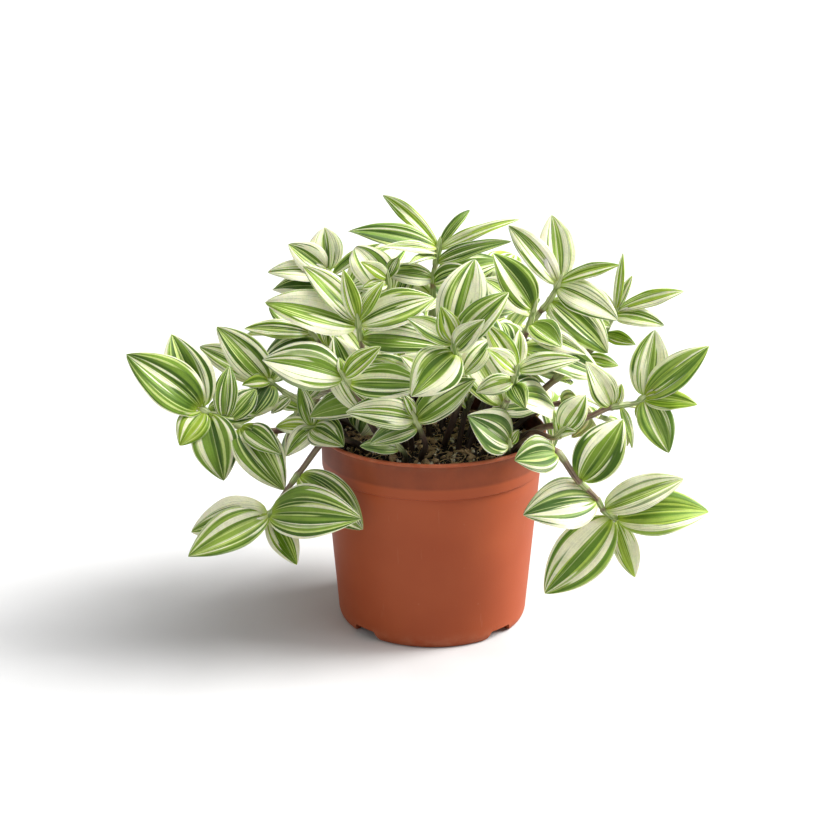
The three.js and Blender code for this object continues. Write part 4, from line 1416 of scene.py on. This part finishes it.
def grow(stem, index, leaves, stalks, materials):
    """One leafy stem: its stalk and every leaf that its packed solid has, which it counts."""
    line = StemLine([[*stem.root, STEM_FOOT], [*stem.root, SOIL_LEVEL + STEM_RISE], *stem.route])
    tree = corner_tree(stem.name)
    plan = placed_leaves(stem, line, seeded(SEED + index))
    plan += grown_leaves(stem, line, seeded(SEED - index - 1))
    parts = MeshParts()
    random = seeded(STALK_SEED_STEP * index + STALK_SEED)
    backs = []
    for leaf in plan:
        axes = packed_axes(leaf, tree)
        seed = random()
        if axes is not None:
            add_blade(parts, leaf, axes, leaves, seed)
            backs.append(leaf.back)
    add_stalk(parts, line, backs, stalks, random())
    piece = parts.piece(stem.name + "_grown", materials, sharp_from=LEAF_CREASE)
    settle(piece, "foliage", stem.name)
    return len(backs)


# ---------------------------------------------------------------- Settings
def length(name, description, millimetres, least=0.0):
    return FloatProperty(name=name, description=description, default=millimetres * MM, min=least,
                         unit="LENGTH", precision=5)


def colour(name, description, *look):
    return FloatVectorProperty(name=name, description=description, default=srgb(*look), size=3,
                               subtype="COLOR", min=0.0, max=1.0)


def share(name, description, value):
    return FloatProperty(name=name, description=description, default=value, min=0.0, max=1.0,
                         subtype="FACTOR")


def number(name, description, value, least):
    return IntProperty(name=name, description=description, default=value, min=least)


def amount(name, description, value, least=0.0):
    return FloatProperty(name=name, description=description, default=value, min=least)


def turn(name, description, degrees):
    return FloatProperty(name=name, description=description, default=math.radians(degrees),
                         min=0.0, subtype="ANGLE")


class PotSettings(bpy.types.PropertyGroup):
    """The moulded pot."""

    wall: length("Wall", "Thickness of the moulded wall", 1.6)
    sides: number("Sides", "Facets round the pot", 160, 32)
    colour: colour("Plastic", "Main colour of the plastic", 184, 88, 46)
    patch_colour: colour("Patches", "Second, slightly darker colour of the plastic", 174, 79, 40)
    # Painted shade inside the mouth, above the mix: its near-black colour.
    painted_mouth_shade_colour: colour("Stain", "Colour of wet mix inside the mouth", 38, 24, 18)
    dust_colour: colour("Dust", "Colour of handling dust and scuffs", 206, 140, 108)
    roughness: share("Roughness", "Roughness of clean plastic", 0.42)


class MixSettings(bpy.types.PropertyGroup):
    """The potting mix and what lies loose on it."""

    lumps: amount("Lumps", "Height of the mix's lumps, as a factor", 1.0)
    rings: number("Rings", "Rings of faces over the mix's top", 56, 8)
    sides: number("Sides", "Facets round the mix", 150, 24)
    dark: colour("Dark mix", "Colour in the mix's hollows", 18, 13, 10)
    light: colour("Light mix", "Colour on the mix's crumbs", 74, 58, 44)
    perlite: colour("Perlite", "Colour of the perlite grains", 255, 244, 222)
    bark: colour("Bark", "Colour of the bark chips", 226, 190, 146)
    fibre: colour("Fibre", "Colour of the coir fibres", 240, 208, 160)
    crumb_density: amount("Crumbs", "Dark crumbs on a square metre", 150000.0)
    perlite_density: amount("Perlite grains", "Grains on a square metre", 30000.0)
    bark_density: amount("Bark chips", "Chips on a square metre", 34000.0)
    fibre_density: amount("Fibres", "Fibres on a square metre", 40000.0)


class LeafSettings(bpy.types.PropertyGroup):
    """The striped leaves."""

    thickness: length("Thickness", "Thickness of a blade at its middle", 0.5)
    rows: number("Rows", "Rows of faces along a leaf 45 mm long", 20, 6)
    columns: number("Columns", "Faces across a leaf", 12, 4)
    veins: amount("Veins", "Ridges on each half of a leaf", 9.0)
    glow: share("Glow", "Share of the light that passes through the blade's flesh", 0.5)
    roughness: share("Roughness", "Roughness of the upper skin", 0.42)
    deep_green: colour("Deep green", "Darkest green stripes", 49, 79, 14)
    mid_green: colour("Mid green", "Common green stripes", 106, 141, 38)
    young_green: colour("Young green", "Dark stripes of young leaves", 116, 155, 16)
    young_light: colour("Young light green", "Light stripes of young leaves", 180, 202, 64)
    mint_green: colour("Mint green", "Dark stripes of shaded leaves", 86, 118, 58)
    mint_light: colour("Light mint", "Light stripes of shaded leaves", 146, 171, 104)
    pale_line: colour("Pale lines", "Thin lines between the green stripes", 216, 228, 152)
    cream: colour("Cream", "Broad pale bands and edges", 238, 240, 204)
    underside: colour("Underside", "Tint of the lower skin", 180, 192, 140)


class StalkSettings(bpy.types.PropertyGroup):
    """The fleshy stalks."""

    radius: length("Radius", "Radius of an old stalk", 1.75)
    step: length("Step", "Length of stalk between two rings of points", 1.3)
    sides: number("Sides", "Facets round a stalk", 10, 5)
    old_dark: colour("Old dark", "Dark of an old stalk", 92, 62, 56)
    old_light: colour("Old light", "Light of an old stalk", 136, 102, 88)
    # Painted shade on the stalks low in the pot, under the leaves: its near-black colour.
    low_stalk_shade: colour("Low down", "Colour of an old stalk near the mix", 44, 32, 26)
    young: colour("Young", "Green of a young stalk", 132, 158, 84)
    young_pale: colour("Young pale", "Pale lines of a young stalk", 196, 206, 152)
    sheath: colour("Sheath", "Pale of the sheaths", 206, 214, 158)


class StageSettings(bpy.types.PropertyGroup):
    """Floor, light and camera."""

    floor_size: length("Floor", "Width of the floor", 40000, 1.0)
    floor_colour: colour("Floor colour", "Colour of the floor", 222, 222, 222)
    floor_bounce: colour("Floor bounce", "Colour that the floor lends to what stands on it",
                         170, 170, 170)
    eye_aside: length("Eye aside", "The camera's place to the side of the pot", -6.68, -10.0)
    eye_back: length("Eye distance", "The camera's distance in front of the pot", 800)
    eye_height: length("Eye height", "The camera's height over the floor", 370.3)
    eye_pitch: turn("Eye pitch", "How far the camera looks down", 18.107)
    lens: amount("Lens", "Focal length of the camera in millimetres", 68.23, 1.0)
    key_strength: amount("Key light", "Strength of the soft main light from the right", 5.0)
    top_strength: amount("Top light", "Strength of the wide light from above", 2.2)
    front_strength: amount("Front light", "Strength of the soft light from the left in front", 0.6)
    surround: amount("Surround", "Brightness of the white surroundings", 0.2)
    sheen: amount("Sheen", "Brightness of the white surroundings in what they gloss", 0.8)
    key_spread: turn("Key spread", "Width of the main light as the plant sees it", 34)
    top_spread: turn("Top spread", "Width of the light from above as the plant sees it", 60)
    front_spread: turn("Front spread", "Width of the front light as the plant sees it", 80)


SETTINGS = {
    "tradescantia_pot": PotSettings,
    "tradescantia_mix": MixSettings,
    "tradescantia_leaves": LeafSettings,
    "tradescantia_stalks": StalkSettings,
    "tradescantia_stage": StageSettings,
}


# ---------------------------------------------------------------- Operators
class MakePot(bpy.types.Operator):
    """Mould the plastic pot: lip, collar, wall, notched foot and drained floor"""

    bl_idname = "tradescantia.make_pot"
    bl_label = "Pot"

    def execute(self, context):
        pot = context.scene.tradescantia_pot
        piece = linked("moulded_pot", turned_mesh("moulded_pot", pot_profile(pot), pot.sides))
        outward(piece)
        cut(piece, [notch_cutter(angle) for angle in NOTCH_ANGLES])
        cut(piece, [drain_cutter(angle) for angle in DRAIN_ANGLES])
        piece.data.materials.clear()
        piece.data.materials.append(plastic_material(pot))
        piece.data.shade_smooth()
        piece.data.set_sharp_from_angle(angle=math.radians(POT_CREASE))
        settle(piece, "pot_plastic", "pot")
        return {"FINISHED"}


# The dark of each pale kind of bits, as linear light.
PERLITE_SHADE = (0.5, 0.44, 0.36)
BARK_SHADE = (0.03, 0.018, 0.01)
COIR_SHADE = (0.2, 0.12, 0.06)


class MakeMix(bpy.types.Operator):
    """Fill the pot with potting mix and strew its crumbs, perlite, bark and fibres"""

    bl_idname = "tradescantia.make_mix"
    bl_label = "Potting mix"

    def execute(self, context):
        mix = context.scene.tradescantia_mix
        roots = [stem.root for stem in all_stems()]
        body = linked("potting_mix_body", mix_mesh(roots, mix.lumps, mix.rings, mix.sides))
        earth = mix_material("dark_mix", mix.dark, mix.light)
        body.data.materials.append(earth)
        settle(body, "potting_mix", "potting_mix")
        finishes = {
            "mix_crumbs": (earth, mix.crumb_density),
            "perlite_grains": (
                mix_material("perlite", PERLITE_SHADE, mix.perlite, rough=0.85, scale=700.0,
                             bump=0.0003, pale=0.75), mix.perlite_density),
            "bark_chips": (
                mix_material("bark", BARK_SHADE, mix.bark, pale=0.4), mix.bark_density),
            "coir_fibres": (
                mix_material("coir", COIR_SHADE, mix.fibre, rough=0.8, scale=900.0,
                             bump=0.0002, pale=0.45), mix.fibre_density),
        }
        for litter in LITTER:
            material, density = finishes[litter.name]
            piece = strewn(litter.name, body, scatter_tree(litter, material), density=density,
                           smallest=litter.smallest * MM, largest=litter.largest * MM,
                           roughening=litter.roughening * MM, reach=litter.reach * MM,
                           seed=litter.seed)
            piece.data.shade_smooth()
            settle(piece, "potting_mix")
        return {"FINISHED"}


class GrowStems(bpy.types.Operator):
    """Grow every leafy stem where its packed solid stands"""

    bl_idname = "tradescantia.grow_stems"
    bl_label = "Leafy stems"

    def execute(self, context):
        leaves, stalks = context.scene.tradescantia_leaves, context.scene.tradescantia_stalks
        materials = [leaf_material(leaves), stalk_material(stalks)]
        counts = [grow(stem, index, leaves, stalks, materials)
                  for index, stem in enumerate(all_stems())]
        if not all(counts):
            raise RuntimeError("a stem has no leaf where its packed solid has them")
        print("leaves on each stem:", counts, "in all", sum(counts))
        return {"FINISHED"}


# Each light's azimuth and elevation in degrees, and its tint.
LIGHTS = {
    "key": (8, 38, (1.0, 0.995, 0.985)),
    "top": (5, 62, (1.0, 1.0, 1.0)),
    "front": (235, 25, (0.98, 0.99, 1.0)),
}
FLOOR_GRAIN_COLOUR = (0.6, 0.6, 0.6)
WHITE = (1.0, 1.0, 1.0, 1.0)
SENSOR_WIDTH = 36.0


def soft_light(name, azimuth, elevation, spread, strength, tint):
    """A far-off wide light that shines from the direction given in degrees."""
    light = bpy.data.lights.new(name, "SUN")
    light.energy, light.angle, light.color = strength, spread, tint
    lamp = linked(name, light)
    lamp.rotation_euler = Vector(direction(azimuth, elevation)).to_track_quat("Z", "Y").to_euler()


def floor_material(stage):
    """A pale, faintly grained floor. What stands on it is tinted by its bounce colour alone."""
    material, shader, principled = new_material("pale_floor", Specular_IOR_Level=0.2)
    grain = shader.mottle(60.0)
    seen = shader.mix(shader.times(grain, 0.02), stage.floor_colour, FLOOR_GRAIN_COLOUR)
    is_seen = shader.add("ShaderNodeLightPath").outputs["Is Camera Ray"]
    colour = shader.mix(is_seen, stage.floor_bounce, seen)
    roughness = shader.line(grain, 0.1, 0.6)
    finish(shader, principled, colour, roughness, grain, strength=0.02, distance=0.0005)
    return material


def white_surroundings(stage):
    """Surroundings that look white, light the plant softly, and show brighter in its gloss."""
    world = bpy.data.worlds.new("white_surroundings")
    world.use_nodes = True
    sky = ShaderTree(world.node_tree)
    background = world.node_tree.nodes["Background"]
    path = sky.add("ShaderNodeLightPath").outputs
    shine = sky.most(sky.times(path["Is Glossy Ray"], stage.sheen), stage.surround)
    sky.feed(background.inputs["Color"], WHITE)
    sky.feed(background.inputs["Strength"], sky.most(path["Is Camera Ray"], shine))
    return world


class MakeStage(bpy.types.Operator):
    """Set the pale floor, the soft studio light and the camera"""

    bl_idname = "tradescantia.make_stage"
    bl_label = "Stage"

    def execute(self, context):
        stage, scene = context.scene.tradescantia_stage, context.scene
        half = stage.floor_size / 2
        mesh = bpy.data.meshes.new("floor")
        mesh.from_pydata([(-half, -half, 0), (half, -half, 0), (half, half, 0), (-half, half, 0)],
                         [], [(0, 1, 2, 3)])
        mesh.materials.append(floor_material(stage))
        linked("floor", mesh)
        scene.world = white_surroundings(stage)
        scene.view_settings.view_transform = "Standard"
        for name, (azimuth, elevation, tint) in LIGHTS.items():
            soft_light(name + "_light", azimuth, elevation, getattr(stage, name + "_spread"),
                       getattr(stage, name + "_strength"), tint)
        camera = bpy.data.cameras.new("camera")
        camera.lens, camera.sensor_width = stage.lens, SENSOR_WIDTH
        eye = linked("camera", camera)
        eye.location = Vector(AXIS) + Vector((stage.eye_aside, -stage.eye_back, stage.eye_height))
        eye.rotation_euler = (math.pi / 2 - stage.eye_pitch, 0.0, 0.0)
        scene.camera = eye
        return {"FINISHED"}


class StudioPanel(bpy.types.Panel):
    """Lists the steps that make the plant, and the values that they take"""

    bl_idname = "VIEW3D_PT_tradescantia"
    bl_label = "Potted tradescantia"
    bl_space_type = "VIEW_3D"
    bl_region_type = "UI"
    bl_category = "Tradescantia"

    def draw(self, context):
        for step in STEPS:
            self.layout.operator(step.bl_idname)
        for name, group in SETTINGS.items():
            box = self.layout.box()
            box.label(text=group.__doc__)
            for value in group.__annotations__:
                box.prop(getattr(context.scene, name), value)


STEPS = (MakeStage, MakePot, MakeMix, GrowStems)
CLASSES = (*SETTINGS.values(), *STEPS, StudioPanel)


def register():
    for made in CLASSES:
        bpy.utils.register_class(made)
    for name, group in SETTINGS.items():
        setattr(bpy.types.Scene, name, PointerProperty(type=group))


def unregister():
    for name in SETTINGS:
        delattr(bpy.types.Scene, name)
    for made in reversed(CLASSES):
        bpy.utils.unregister_class(made)


def main():
    register()
    for step in STEPS:
        family, name = step.bl_idname.split(".")
        getattr(getattr(bpy.ops, family), name)()


if __name__ == "__main__":
    main()
